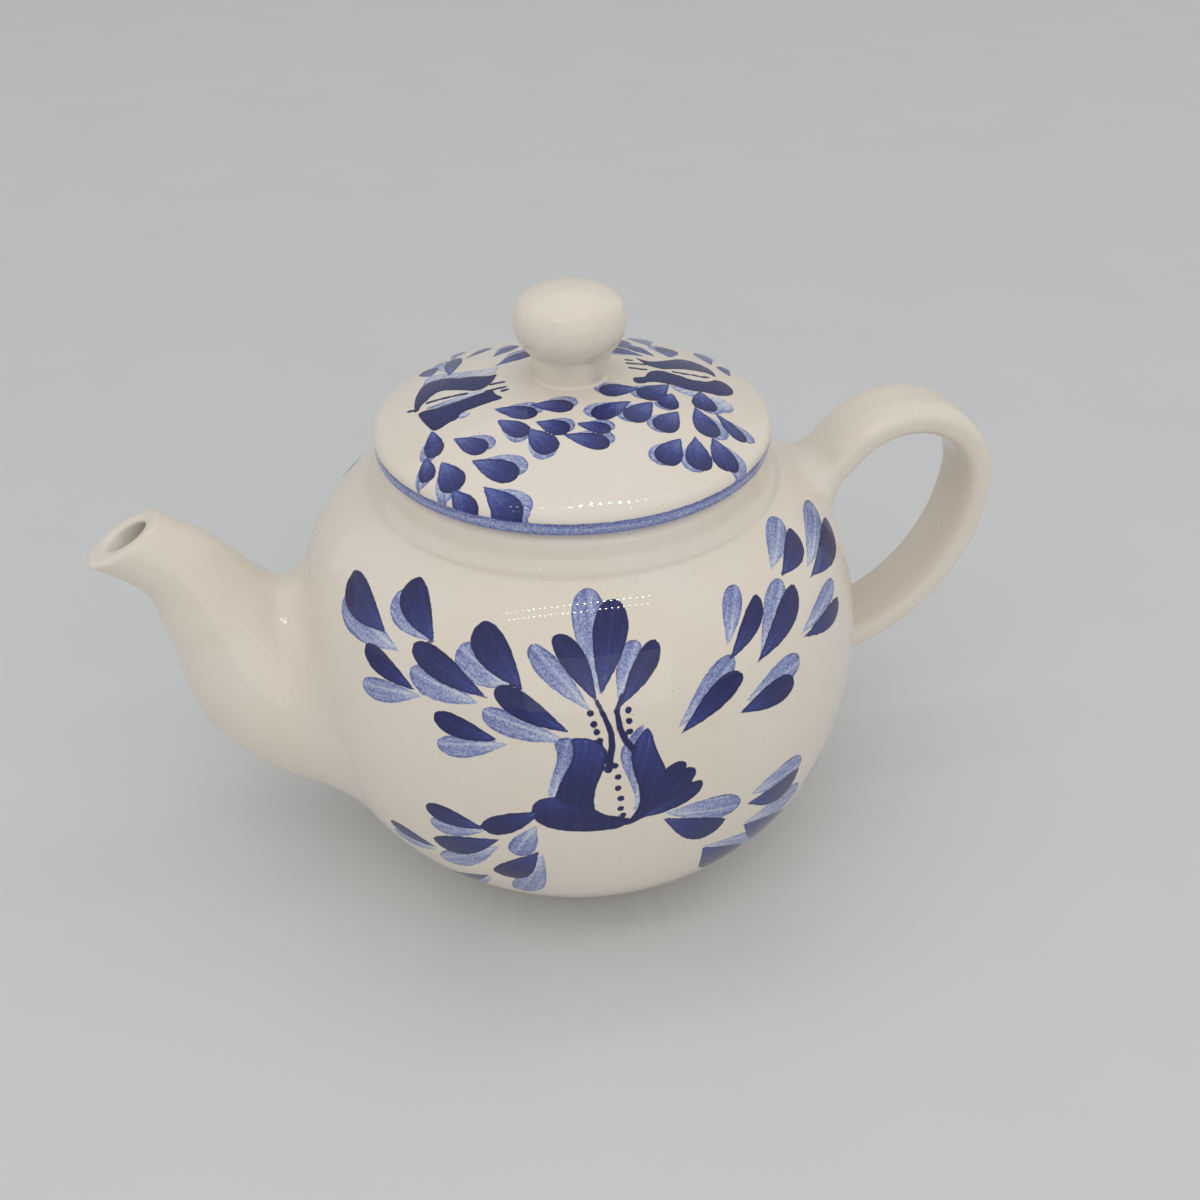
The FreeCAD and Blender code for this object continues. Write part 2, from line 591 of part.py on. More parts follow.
def make_handle_strap():
    """A strap of even section: a straight arm off the shoulder, a tight turn and a long easy back."""
    body = new_body("handle_strap")
    path = new_sketch(body, "handle_path", "XZ_Plane")
    turn_centre = point(HANDLE_TURN, "sizes.handle_turn_height")
    turn_radius = number("sizes.handle_turn_radius")
    back_radius = number("sizes.handle_back_radius")
    slope = math.radians(number("sizes.handle_arm_slope"))
    outermost = turn_centre + FreeCAD.Vector(turn_radius, 0, 0)
    back_centre = outermost - FreeCAD.Vector(back_radius, 0, 0)
    tail_reach = number(HANDLE_TAIL)
    tail_drop = math.sqrt(back_radius ** 2 - (tail_reach - back_centre.x) ** 2)
    tail = FreeCAD.Vector(tail_reach, back_centre.y - tail_drop, 0)
    along_arm = FreeCAD.Vector(math.cos(slope), math.sin(slope), 0)
    arm_end = turn_centre + FreeCAD.Vector(-math.sin(slope), math.cos(slope), 0) * turn_radius
    arm_start = arm_end - along_arm * number("sizes.handle_arm_length")
    arm = add_line(path, arm_start, arm_end)
    turn = add_arc(path, turn_centre, outermost, arm_end)
    back = add_arc(path, back_centre, tail, outermost)
    relate(path, "Tangent", arm, END, turn, END)
    relate(path, "Tangent", turn, START, back, END)
    place_point(path, turn, CENTRE, HANDLE_TURN, "sizes.handle_turn_height")
    measure(path, "Radius", "sizes.handle_turn_radius", turn)
    measure(path, "Radius", "sizes.handle_back_radius", back)
    relate(path, "Horizontal", turn, CENTRE, back, CENTRE)
    measure(path, "DistanceX", HANDLE_TAIL, *ORIGIN, back, START)
    measure(path, "Distance", "sizes.handle_arm_length", arm)
    measure(path, "Angle", "sizes.handle_arm_slope", arm)
    section = new_sketch(body, "handle_section", "XY_Plane")
    turned = FreeCAD.Rotation(FreeCAD.Vector(0, 1, 0), RIGHT_ANGLE - number("sizes.handle_arm_slope"))
    section.AttachmentOffset = FreeCAD.Placement(FreeCAD.Vector(arm_start.x, 0, arm_start.y), turned)
    section.setExpression("AttachmentOffset.Rotation.Angle", "%d - sizes.handle_arm_slope" % RIGHT_ANGLE)
    across = HANDLE_TURN + " - sizes.handle_turn_radius * sin(sizes.handle_arm_slope)"
    across += " - sizes.handle_arm_length * cos(sizes.handle_arm_slope)"
    up = "sizes.handle_turn_height + sizes.handle_turn_radius * cos(sizes.handle_arm_slope)"
    up += " - sizes.handle_arm_length * sin(sizes.handle_arm_slope)"
    section.setExpression("AttachmentOffset.Base.x", across)
    section.setExpression("AttachmentOffset.Base.z", up)
    draw_rounded_section(section)
    strap = body.newObject("PartDesign::AdditivePipe", "handle_sweep")
    strap.Profile = section
    strap.Spine = path
    doc.recompute()
    return body


def draw_rounded_section(sketch):
    """A rounded rectangle about the origin: thickness across, width up."""
    half_thick = number("sizes.handle_thickness / 2")
    half_wide = number("sizes.handle_width / 2")
    edge = number("sizes.handle_edge_round")
    sides = []
    for quarter in range(4):
        along, aside = (half_thick, half_wide) if quarter % 2 == 0 else (half_wide, half_thick)
        turn = FreeCAD.Rotation(UP, RIGHT_ANGLE * quarter)
        start = turn.multVec(FreeCAD.Vector(along, edge - aside, 0))
        end = turn.multVec(FreeCAD.Vector(along, aside - edge, 0))
        middle = turn.multVec(FreeCAD.Vector(along - edge, aside - edge, 0))
        after = turn.multVec(FreeCAD.Vector(along - edge, aside, 0))
        sides.append((add_line(sketch, start, end), add_arc(sketch, middle, end, after)))
    for index, (side, corner) in enumerate(sides):
        next_side = sides[(index + 1) % len(sides)][0]
        relate(sketch, "Tangent", side, END, corner, START)
        relate(sketch, "Tangent", corner, END, next_side, START)
        relate(sketch, "Horizontal" if index % 2 else "Vertical", side)
        if index:
            relate(sketch, "Equal", corner, sides[0][1])
    measure(sketch, "Radius", "sizes.handle_edge_round", sides[0][1])
    measure(sketch, "DistanceX", "sizes.handle_thickness / 2", *ORIGIN, sides[0][0], START)
    measure(sketch, "DistanceX", "sizes.handle_thickness / 2", sides[2][0], START, *ORIGIN)
    measure(sketch, "DistanceY", "sizes.handle_width / 2", *ORIGIN, sides[1][0], START)
    measure(sketch, "DistanceY", "sizes.handle_width / 2", sides[3][0], START, *ORIGIN)


def cut(label, base, tool):
    piece = doc.addObject("Part::Cut", label)
    piece.Label = label
    piece.Base = base
    piece.Tool = tool
    doc.recompute()
    return piece


def make_spout(core):
    """A curved, tapering tube with an oblique lip, trimmed to the belly."""
    outside = make_spout_loft("spout_outside", "0", "0")
    bore = make_spout_loft("spout_bore", "sizes.spout_wall", "sizes.spout_bore_overrun")
    tube = cut("spout_tube", outside, bore)
    open_tube = cut("spout_open", tube, make_lip_cutter())
    return cut("spout", open_tube, core)


def make_handle(core):
    """The strap, trimmed to the belly."""
    return cut("handle", make_handle_strap(), core)


belly_core = make_belly_core()
pot_body = make_pot_body()
foot_ring = make_foot_ring()
neck_collar = make_collar()
spout = make_spout(belly_core)
handle = make_handle(belly_core)
lid_dome = make_lid_dome()
lid_flange = make_lid_flange()
lid_knob = make_lid_knob()

doc.recompute()
for item in doc.Objects:
    if "Invalid" in item.State or "Error" in item.State:
        raise RuntimeError("%s failed: %s" % (item.Label, item.State))

pieces = (pot_body, foot_ring, neck_collar, spout, handle, lid_dome, lid_flange, lid_knob)
for piece in pieces:
    if piece.Shape.isNull() or not piece.Shape.isValid() or len(piece.Shape.Solids) != 1:
        raise RuntimeError("%s is not one sound solid" % piece.Label)

os.makedirs("parts", exist_ok=True)
for piece in pieces:
    piece.Shape.exportStep(os.path.join("parts", piece.Label + ".step"))
    print(piece.Label, "volume %.0f" % piece.Shape.Volume)
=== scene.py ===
import math
from types import SimpleNamespace

import bpy
import numpy as np
from mathutils import Euler, Matrix, Vector


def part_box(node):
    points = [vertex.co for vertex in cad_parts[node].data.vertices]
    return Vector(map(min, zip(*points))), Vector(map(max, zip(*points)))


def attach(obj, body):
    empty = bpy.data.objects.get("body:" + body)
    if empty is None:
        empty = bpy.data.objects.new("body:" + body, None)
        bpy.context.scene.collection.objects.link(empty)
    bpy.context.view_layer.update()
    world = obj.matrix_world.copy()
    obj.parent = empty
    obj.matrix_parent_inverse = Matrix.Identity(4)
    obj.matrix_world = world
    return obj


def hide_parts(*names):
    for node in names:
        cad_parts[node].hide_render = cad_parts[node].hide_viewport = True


bl_info = {
    "name": "Painted Teapot",
    "version": (1, 0, 0),
    "blender": (4, 5, 0),
    "location": "3D View > Sidebar > Teapot",
    "description": "Dresses the packed teapot in glazed clay and brushed blue flowers, on lit paper",
    "category": "Object",
}

# Sizes below are in millimetres and degrees. Every Blender object is in metres.
MM = 0.001
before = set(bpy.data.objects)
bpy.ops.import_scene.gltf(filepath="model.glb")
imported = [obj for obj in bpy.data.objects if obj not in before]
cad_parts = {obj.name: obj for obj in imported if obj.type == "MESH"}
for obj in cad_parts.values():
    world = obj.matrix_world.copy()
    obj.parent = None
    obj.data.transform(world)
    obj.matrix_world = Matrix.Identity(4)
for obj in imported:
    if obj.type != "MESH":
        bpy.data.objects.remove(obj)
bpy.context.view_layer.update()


def node_box(node):
    """A CAD node's lowest and highest corners in millimetres."""
    return [np.array(corner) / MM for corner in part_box(node)]


POT_LOW, POT_HIGH = node_box("pot_body")
COLLAR_HIGH = node_box("neck_collar")[1]
FLANGE_LOW, FLANGE_HIGH = node_box("lid_flange")
DOME_HIGH = node_box("lid_dome")[1]
KNOB_LOW, KNOB_HIGH = node_box("lid_knob")

BELLY_RADIUS = POT_HIGH[0]
BELLY_FOOT = POT_LOW[2]
LAND_HEIGHT = POT_HIGH[2]
SEAT_HEIGHT = COLLAR_HIGH[2]
SHOULDER_RADIUS = COLLAR_HIGH[0]
LID_RADIUS = DOME_HIGH[0]
FLANGE_RADIUS = FLANGE_HIGH[0]
FLANGE_BOTTOM = FLANGE_LOW[2]
KNOB_SEAT = KNOB_LOW[2]
KNOB_TOP = KNOB_HIGH[2]
KNOB_RADIUS = KNOB_HIGH[0]

# Rings of the spout from the root to the end: distance from the axis, height, slope and outer diameter
SPOUT_RINGS = (
    (58.0, 46.5, 0, 55.0),
    (78.0, 56.2, 49, 43.6),
    (88.6, 75.6, 62, 28.4),
    (97.0, 90.3, 44, 20.0),
    (118.0, 103.2, 23, 16.4),
)
SPOUT_LIP_TILT = 26.5
HANDLE_ARM_SLOPE = 48
# Turned profiles stop this far from the axis, where a cap closes them
AXIS_GAP = 0.02
# Paint is followed this far beyond its own edge
COVER_EDGE = 1.0
LAYERS = ("dark", "pale")


def linear(code):
    """A colour written as an sRGB hex code, in the linear values that Blender's sockets take."""
    levels = [int(code[place:place + 2], 16) / 255 for place in (1, 3, 5)]
    return [level / 12.92 if level <= 0.04045 else ((level + 0.055) / 1.055) ** 2.4 for level in levels]


def length(name, description, size):
    """A length property whose default is given in millimetres."""
    return bpy.props.FloatProperty(
        name=name, description=description, default=size * MM, min=0, unit="LENGTH", precision=5
    )


def colour(name, description, code):
    """A colour property whose default is given as an sRGB hex code."""
    return bpy.props.FloatVectorProperty(
        name=name, description=description, default=linear(code), min=0, max=1, size=3, subtype="COLOR"
    )


def millimetres(group):
    """A group's lengths in millimetres, by name."""
    return SimpleNamespace(**{key: getattr(group, key) / MM for key in group.__annotations__})


class PotSettings(bpy.types.PropertyGroup):
    belly_height: length("Belly height", "Height of the widest ring of the belly", 56.5)
    curve_radius: length("Belly curve", "Radius of the belly's middle curve", 86.0)
    band_above: length("Band above", "How far the middle curve runs above the widest ring", 22.0)
    band_below: length("Band below", "How far the middle curve runs below the widest ring", 21.0)
    base_radius: length("Base radius", "Radius where the belly meets the foot", 44.0)
    wall: length("Wall", "Thickness of the belly wall", 4.6)
    floor: length("Floor", "Thickness of the pot's floor", 5.0)
    cove: length("Cove", "Radius of the hollow under the collar", 3.8)
    roll: length("Roll", "Radius of the collar's rolled edge", 3.8)
    mouth_radius: length("Mouth radius", "Radius of the mouth", 40.0)
    mouth_round: length("Mouth round", "Rounding of the mouth's edge", 0.8)


class SpoutSettings(bpy.types.PropertyGroup):
    wall: length("Wall", "Thickness of the spout at its lip", 3.2)
    lip_reach: length("Lip reach", "Distance from the axis to the middle of the lip", 108.3)
    lip_height: length("Lip height", "Height of the middle of the lip", 97.6)
    root_blend: length("Root blend", "Reach of the smoothed clay where the spout joins the belly", 11.0)


class HandleSettings(bpy.types.PropertyGroup):
    turn_reach: length("Turn reach", "Distance from the axis to the centre of the upper turn", 84.8)
    turn_height: length("Turn height", "Height of the centre of the upper turn", 87.8)
    turn_radius: length("Turn radius", "Radius of the strap's upper turn", 20.5)
    back_radius: length("Back radius", "Radius of the strap's long back", 47.0)
    arm: length("Arm", "Length of the straight arm off the shoulder", 18.0)
    tail_reach: length("Tail reach", "Distance from the axis to the end of the tail", 64.0)
    width: length("Width", "Width of the strap", 19.5)
    thickness: length("Thickness", "Thickness of the strap", 8.2)
    root_blend: length("Root blend", "Reach of the smoothed clay where the strap joins the belly", 7.0)


class LidSettings(bpy.types.PropertyGroup):
    crown_radius: length("Crown radius", "Radius of the dome", 110.0)
    rim_height: length("Rim height", "Height of the lid's edge above the collar", 4.95)
    wall: length("Wall", "Thickness of the dome", 4.4)
    edge_round: length("Edge round", "Rounding of the rim's upper edge", 2.8)
    foot_round: length("Foot round", "Rounding of the rim's lower edge", 0.8)
    flange_wall: length("Flange wall", "Thickness of the locating ring", 4.0)
    flange_round: length("Flange round", "Rounding of the locating ring's end", 1.2)
    band: length("Rim band", "Width of the blue band brushed round the rim", 3.6)


class KnobSettings(bpy.types.PropertyGroup):
    foot_radius: length("Foot radius", "Radius of the knob's neck where it meets the lid", 8.2)
    waist_radius: length("Waist radius", "Radius at the top of the neck", 9.7)
    waist_rise: length("Waist rise", "Height of the neck", 6.6)
    middle_rise: length("Middle rise", "Height of the widest ring above the neck's foot", 13.6)
    crown_radius: length("Crown radius", "Radius of the knob's flatter top", 22.0)
    crown_round: length("Crown round", "Rounding between the side and the top", 4.5)
    foot_blend: length("Foot blend", "Reach of the smoothed clay round the neck's foot", 1.0)


class FinishSettings(bpy.types.PropertyGroup):
    cream: colour("Cream glaze", "Clear glaze over the cream clay", "#dfd6c9")
    speck: colour("Speck", "Iron specks in the clay", "#7a6448")
    clay: colour("Bare clay", "Unglazed foot", "#c9b79b")
    film: colour("Film", "Cobalt rubbed out to almost nothing", "#d0d2d8")
    wash: colour("Thin wash", "Cobalt brushed thin", "#a3aec8")
    middle: colour("Cobalt", "Cobalt at a middling strength", "#6472ae")
    deep: colour("Deep cobalt", "Cobalt brushed full", "#2e387a")
    navy: colour("Navy", "Cobalt pooled at the end of a stroke", "#171c50")
    backdrop: colour("Backdrop", "Paper that the teapot stands on", "#d2d3d3")


class TeapotSettings(bpy.types.PropertyGroup):
    pot: bpy.props.PointerProperty(name="Pot", description="Sizes of the pot", type=PotSettings)
    spout: bpy.props.PointerProperty(name="Spout", description="Sizes of the spout", type=SpoutSettings)
    handle: bpy.props.PointerProperty(name="Handle", description="Sizes of the handle", type=HandleSettings)
    lid: bpy.props.PointerProperty(name="Lid", description="Sizes of the lid", type=LidSettings)
    knob: bpy.props.PointerProperty(name="Knob", description="Sizes of the knob", type=KnobSettings)
    finish: bpy.props.PointerProperty(name="Finish", description="Colours", type=FinishSettings)


# Curves and meshes


def flat(across, up):
    return np.array([across, up], dtype=float)


def unit(vector):
    return vector / np.linalg.norm(vector)


def tangent_centre(start, inward, end):
    """The centre of the arc that leaves start square to the inward direction and passes through end."""
    chord = end - start
    return start + inward * (chord @ chord / (2 * inward @ chord))


def meeting_point(first, first_radius, second, second_radius):
    """Where two circles of a section cross, on the outer side."""
    between = second - first
    gap = np.linalg.norm(between)
    along = (gap ** 2 + first_radius ** 2 - second_radius ** 2) / (2 * gap)
    aside = math.sqrt(first_radius ** 2 - along ** 2)
    direction = between / gap
    outward = flat(abs(direction[1]), -direction[0] * np.sign(direction[1]))
    return first + direction * along + outward * aside


def run(start, end, step):
    """Points of a straight stretch, without its first one."""
    count = max(1, round(np.linalg.norm(end - start) / step))
    share = np.linspace(0, 1, count + 1)[1:, None]
    return start + (end - start) * share


def sweep(centre, start, end, step):
    """Points of the shorter arc from start to end, without its first one."""
    radius = np.linalg.norm(start - centre)
    first = math.atan2(start[1] - centre[1], start[0] - centre[0])
    turn = math.atan2(end[1] - centre[1], end[0] - centre[0]) - first
    turn = (turn + math.pi) % (2 * math.pi) - math.pi
    count = max(2, math.ceil(abs(turn) * radius / step))
    angles = first + turn * np.linspace(0, 1, count + 1)[1:]
    return centre + radius * np.stack([np.cos(angles), np.sin(angles)], axis=1)


def bend(start, first, second, end, count):
    """Points of a soft curve that leaves start towards first and reaches end from second."""
    share = np.linspace(0, 1, count)[:, None]
    rest = 1 - share
    return (
        start * rest ** 3
        + first * 3 * share * rest ** 2
        + second * 3 * share ** 2 * rest
        + end * share ** 3
    )


def running_length(points):
    """How far along a line each of its points lies."""
    steps = np.linalg.norm(np.diff(points, axis=0), axis=1)
    return np.concatenate([[0], np.cumsum(steps)])


def respaced(line, first, count):
    """Points spaced evenly along a line, from a given length along it to its end."""
    reach = running_length(line)
    places = np.linspace(first, reach[-1], count)
    return np.stack([np.interp(places, reach, part) for part in line.T], axis=1)


def turned(profile, segments):
    """The grid of points that a profile of (radius, height) makes when it turns about the axis."""
    angles = np.arange(segments) * 2 * math.pi / segments
    radius = profile[:, :1]
    height = np.repeat(profile[:, 1:], segments, axis=1)
    return np.stack([radius * np.cos(angles), radius * np.sin(angles), height], axis=2)


def grid_object(name, grid, capped=()):
    """A smooth mesh from rings of points, in millimetres, with a plain grid as its bake map."""
    rings, segments = grid.shape[:2]
    ring = np.arange(rings - 1)[:, None]
    segment = np.arange(segments)[None, :]
    after = (segment + 1) % segments
    quads = np.stack(
        np.broadcast_arrays(
            ring * segments + segment,
            ring * segments + after,
            (ring + 1) * segments + after,
            (ring + 1) * segments + segment,
        ),
        axis=2,
    ).reshape(-1, 4)
    faces = quads.tolist()
    caps = {"first": range(segments - 1, -1, -1), "last": range((rings - 1) * segments, rings * segments)}
    for end in capped:
        faces.append(list(caps[end]))
    mesh = bpy.data.meshes.new(name)
    mesh.from_pydata((grid.reshape(-1, 3) * MM).tolist(), [], faces)
    left = np.broadcast_to(segment / segments, (rings - 1, segments))
    right = left + 1 / segments
    low = np.broadcast_to(ring / (rings - 1), (rings - 1, segments))
    high = low + 1 / (rings - 1)
    corners = np.stack([left, low, right, low, right, high, left, high], axis=2).reshape(-1, 2)
    chart = mesh.uv_layers.new(name="OFBake")
    places = np.zeros((len(mesh.loops), 2))
    places[:len(corners)] = corners
    chart.data.foreach_set("uv", places.ravel())
    mesh.shade_smooth()
    mesh.update()
    piece = bpy.data.objects.new(name, mesh)
    bpy.context.scene.collection.objects.link(piece)
    return piece


def hermite(knots, values, slopes, at):
    """Cubic curve through values at knots, with the given slopes."""
    index = np.clip(np.searchsorted(knots, at, side="right") - 1, 0, len(knots) - 2)
    span = (knots[1:] - knots[:-1])[index]
    share = (at - knots[index]) / span
    return (
        values[index] * (1 + 2 * share) * (1 - share) ** 2
        + slopes[index] * span * share * (1 - share) ** 2
        + values[index + 1] * share ** 2 * (3 - 2 * share)
        + slopes[index + 1] * span * share ** 2 * (share - 1)
    )


# Profile of the pot


def belly_arcs(pot, inset):
    """Centres and corners of the belly's three tangent curves, set in from the outside."""
    middle = flat(BELLY_RADIUS - pot.curve_radius, pot.belly_height)
    low = middle + flat(math.sqrt(pot.curve_radius ** 2 - pot.band_below ** 2), -pot.band_below)
    high = middle + flat(math.sqrt(pot.curve_radius ** 2 - pot.band_above ** 2), pot.band_above)
    base = flat(pot.base_radius, BELLY_FOOT)
    top = flat(SHOULDER_RADIUS, LAND_HEIGHT)
    low_centre = tangent_centre(low, unit(middle - low), base)
    high_centre = tangent_centre(high, unit(middle - high), top)
    corners = []
    for corner, centre in ((base, low_centre), (low, middle), (high, middle), (top, high_centre)):
        corners.append(corner + unit(centre - corner) * inset)
    return (low_centre, middle, high_centre), corners


def belly_profile(pot, inset, step):
    """The belly from the base to the shoulder, as points of (radius, height)."""
    centres, corners = belly_arcs(pot, inset)
    points = [corners[0][None]]
    for centre, start, end in zip(centres, corners[:-1], corners[1:]):
        points.append(sweep(centre, start, end, step))
    return np.concatenate(points)


def belly_gap(points, profile):
    """How far points stand out from the belly's side."""
    reach = np.hypot(points[..., 0], points[..., 1])
    return reach - np.interp(points[..., 2], profile[:, 1], profile[:, 0])


def belly_normal(point, profile):
    """The direction straight out of the belly's side beside a point."""
    slope = np.interp(point[2], profile[:, 1], np.gradient(profile[:, 0], profile[:, 1]))
    return unit(np.array([*unit(point[:2]), -slope]))


def rooted(grid, profile, blend, tail_rings):
    """Rings of a tube whose first end runs out smoothly onto the belly.

    The grid runs from inside the belly outward. Every line along the tube is cut where it leaves the belly,
    and a soft curve takes it from the belly's surface to the free stretch.
    """
    sunk = 0.02
    pull = 0.55
    soft_rings = 18
    gaps = belly_gap(grid, profile)
    middle = grid.mean(axis=1)
    lines = []
    for column in range(grid.shape[1]):
        line = grid[:, column]
        inside = np.nonzero(gaps[:, column] < 0)[0].max()
        below, above = gaps[inside, column], gaps[inside + 1, column]
        share = -below / (above - below)
        leaving = line[inside] + (line[inside + 1] - line[inside]) * share
        centre = middle[inside] + (middle[inside + 1] - middle[inside]) * share
        free = np.concatenate([leaving[None], line[inside + 1:]])
        stretch = respaced(free, blend, tail_rings)
        spread = unit(leaving - centre)
        normal = belly_normal(leaving, profile)
        aside = spread - normal * (spread @ normal)
        start = leaving + aside * blend
        side = np.interp(start[2], profile[:, 1], profile[:, 0]) - sunk
        start[:2] *= side / np.hypot(start[0], start[1])
        outward = belly_normal(start, profile)
        inward = leaving - start
        first = start + (inward - outward * (inward @ outward)) * pull
        second = stretch[0] - unit(stretch[1] - stretch[0]) * blend * pull
        lines.append(np.concatenate([bend(start, first, second, stretch[0], soft_rings)[:-1], stretch]))
    return np.stack(lines, axis=1)


# Brushwork


class Canvas:
    """Layers of brushwork on a mesh: how far inside a stroke each vertex lies, and where along and aside.

    The thinnest and thickest values are how loaded the brush is at the start and the end of a stroke.
    """

    def __init__(self, across, up, thinnest, thickest):
        self.across = across
        self.up = up
        self.thinnest = thinnest
        self.thickest = thickest
        self.cover = {layer: np.full(across.shape, -COVER_EDGE) for layer in LAYERS}
        self.along = {layer: np.zeros(across.shape) for layer in LAYERS}
        self.aside = {layer: np.zeros(across.shape) for layer in LAYERS}

    def lay(self, layer, chosen, cover, along, aside):
        """Adds paint where it is further inside its own edge than what is there."""
        over = cover > self.cover[layer][chosen]
        places = np.nonzero(chosen)[0][over]
        self.cover[layer][places] = cover[over]
        self.along[layer][places] = self.thinnest + (self.thickest - self.thinnest) * along[over]
        self.aside[layer][places] = aside[over]

    def teardrop(self, layer, tip, size, turn, left, right):
        """One press of a round brush: a fine tip that swells to a round end.

        The turn is clockwise from up, and left and right are the reach on each side of the middle line.
        """
        heading = math.radians(turn)
        across = self.across - tip[0]
        up = self.up - tip[1]
        search = size * 1.3
        near = across ** 2 + up ** 2 < search ** 2
        forward = across[near] * math.sin(heading) + up[near] * math.cos(heading)
        aside = across[near] * math.cos(heading) - up[near] * math.sin(heading)
        share = np.clip(forward / size, 0, 1)
        fullest = 0.7
        slimness = 1.15
        end_slope = 0.8
        neck = np.sin(np.clip(share / fullest, 0, 1) * math.pi / 2) ** slimness
        cap = np.sqrt(np.clip(1 - (np.clip(share - fullest, 0, 1) / (1 - fullest)) ** 2, 0, 1))
        swell = np.where(share < fullest, neck, cap)
        reach = np.where(aside < 0, left, right) * swell
        beyond = np.maximum(forward - size, 0) + np.maximum(-forward, 0)
        cover = np.clip(reach - np.abs(aside) - beyond, -COVER_EDGE, None)
        end_room = (size - forward) * end_slope
        cover = np.minimum(cover, np.maximum(end_room, -COVER_EDGE))
        self.lay(layer, near, cover, share, aside)

    def stroke(self, tip, size, turn, left, right, shadow):
        """A dark stroke with the pale one that is pressed beside it."""
        along, aside, pale_size, pale_turn = shadow
        heading = math.radians(turn)
        pale_tip = (
            tip[0] + along * math.sin(heading) + aside * math.cos(heading),
            tip[1] + along * math.cos(heading) - aside * math.sin(heading),
        )
        half = (left + right) / 2
        lean = half * 0.1
        self.teardrop("pale", pale_tip, pale_size, turn + pale_turn, half + lean, half - lean)
        self.teardrop("dark", tip, size, turn, left, right)

    def patch(self, layer, outline, flow):
        """A filled shape with a softened outline; flow is the way that the brush ran, from pale to dark."""
        outline = softened(outline)
        low = outline.min(axis=0) - COVER_EDGE
        high = outline.max(axis=0) + COVER_EDGE
        near = (self.across > low[0]) & (self.across < high[0]) & (self.up > low[1]) & (self.up < high[1])
        points = np.stack([self.across[near], self.up[near]], axis=1)
        cover = outline_depth(points, outline)
        start, end = np.array(flow, dtype=float)
        heading = end - start
        along = np.clip((points - start) @ heading / (heading @ heading), 0, 1)
        aside = (points - start) @ unit(flat(heading[1], -heading[0]))
        self.lay(layer, near, np.clip(cover, -COVER_EDGE, None), along, aside)

    def thread(self, layer, points, start_width, end_width):
        """A thin brushed line that changes width along its points."""
        points = np.array(points, dtype=float)
        reach = running_length(points)
        for start, end, begun, ended in zip(points[:-1], points[1:], reach[:-1], reach[1:]):
            chord = end - start
            here = np.stack([self.across, self.up], axis=1) - start
            near = np.linalg.norm(here - chord / 2, axis=1) < np.linalg.norm(chord) + COVER_EDGE
            here = here[near]
            share = np.clip(here @ chord / (chord @ chord), 0, 1)
            distance = np.linalg.norm(here - share[:, None] * chord, axis=1)
            done = (begun + share * (ended - begun)) / reach[-1]
            half = (start_width + (end_width - start_width) * done) / 2
            self.lay(layer, near, np.clip(half - distance, -COVER_EDGE, None), np.ones(len(done)), distance)

    def dot(self, place, radius):
        """A touch of the brush's point."""
        here = np.hypot(self.across - place[0], self.up - place[1])
        near = here < radius + COVER_EDGE
        self.lay("dark", near, radius - here[near], np.ones(near.sum()), here[near])


def softened(outline):
    """A closed outline with its corners cut off three times over."""
    points = np.array(outline, dtype=float)
    for _ in range(3):
        quarter = (np.roll(points, -1, axis=0) - points) / 4
        points = np.stack([points + quarter, points + quarter * 3], axis=1).reshape(-1, 2)
    return points


def outline_depth(points, outline):
    """How far points lie inside a closed outline; outside it the depth is negative."""
    inside = np.zeros(len(points), dtype=bool)
    nearest = np.full(len(points), np.inf)
    for start, end in zip(outline, np.roll(outline, -1, axis=0)):
        chord = end - start
        share = np.clip((points - start) @ chord / (chord @ chord), 0, 1)
        nearest = np.minimum(nearest, np.linalg.norm(points - start - share[:, None] * chord, axis=1))
        if start[1] != end[1]:
            crosses = (start[1] > points[:, 1]) != (end[1] > points[:, 1])
            side = start[0] + (points[:, 1] - start[1]) / chord[1] * chord[0]
            inside ^= crosses & (points[:, 0] < side)
    return np.where(inside, nearest, -nearest)


def write_layers(piece, canvas, first, count):
    """Stores a canvas on a piece's vertices, from the first one on."""
    for layer in LAYERS:
        for kind, values in (("cover", canvas.cover), ("along", canvas.along), ("aside", canvas.aside)):
            whole = np.zeros(len(piece.data.vertices))
            shift = COVER_EDGE if kind == "cover" else 0
            whole[first:first + count] = values[layer] + shift
            stored = piece.data.attributes.new(layer + "_" + kind, "FLOAT", "POINT")
            stored.data.foreach_set("value", whole)


# Strokes on the belly's front: angle from the front towards the handle, rise above the widest ring, length,
# turn, reach on the left and right, and the shadow's shift along and aside, length and turn
LEFT_BRANCH = (
    (-51.5, 34, 19, -69, 5.5, 3, (-5.5, -0.5, 22.5, -12)),
    (-40, 36, 15.5, -38, 6, 2, (0.5, -0.5, 14.5, -24)),
    (-42, 24.5, 17, -75, 3, 2.5, (-2, 0, 18.5, -28)),
    (-27.5, 27, 20.5, -70, 3, 3.5, (1, -2, 18, -10)),
    (-21, 29.5, 17, -38, 5, 3, (1.5, -2, 14.5, -22)),
    (-12.5, 20.5, 18.5, -61, 3, 3, (-0.5, -2, 19.5, -13)),
    (-25, 17.5, 16, -80, 3, 2.5, (-2, 0, 17.5, -23)),
)
CROWN = (
    (-7.5, 27, 17, -30, 2, 3.5, (-1, -2, 19, -11)),
    (-7, 28.5, 21, 11, 3.5, 4, (0, 0, 23.5, -14)),
    (-4, 25.5, 16.5, 34, 2, 3, (1.5, -1, 13.5, -12)),
)
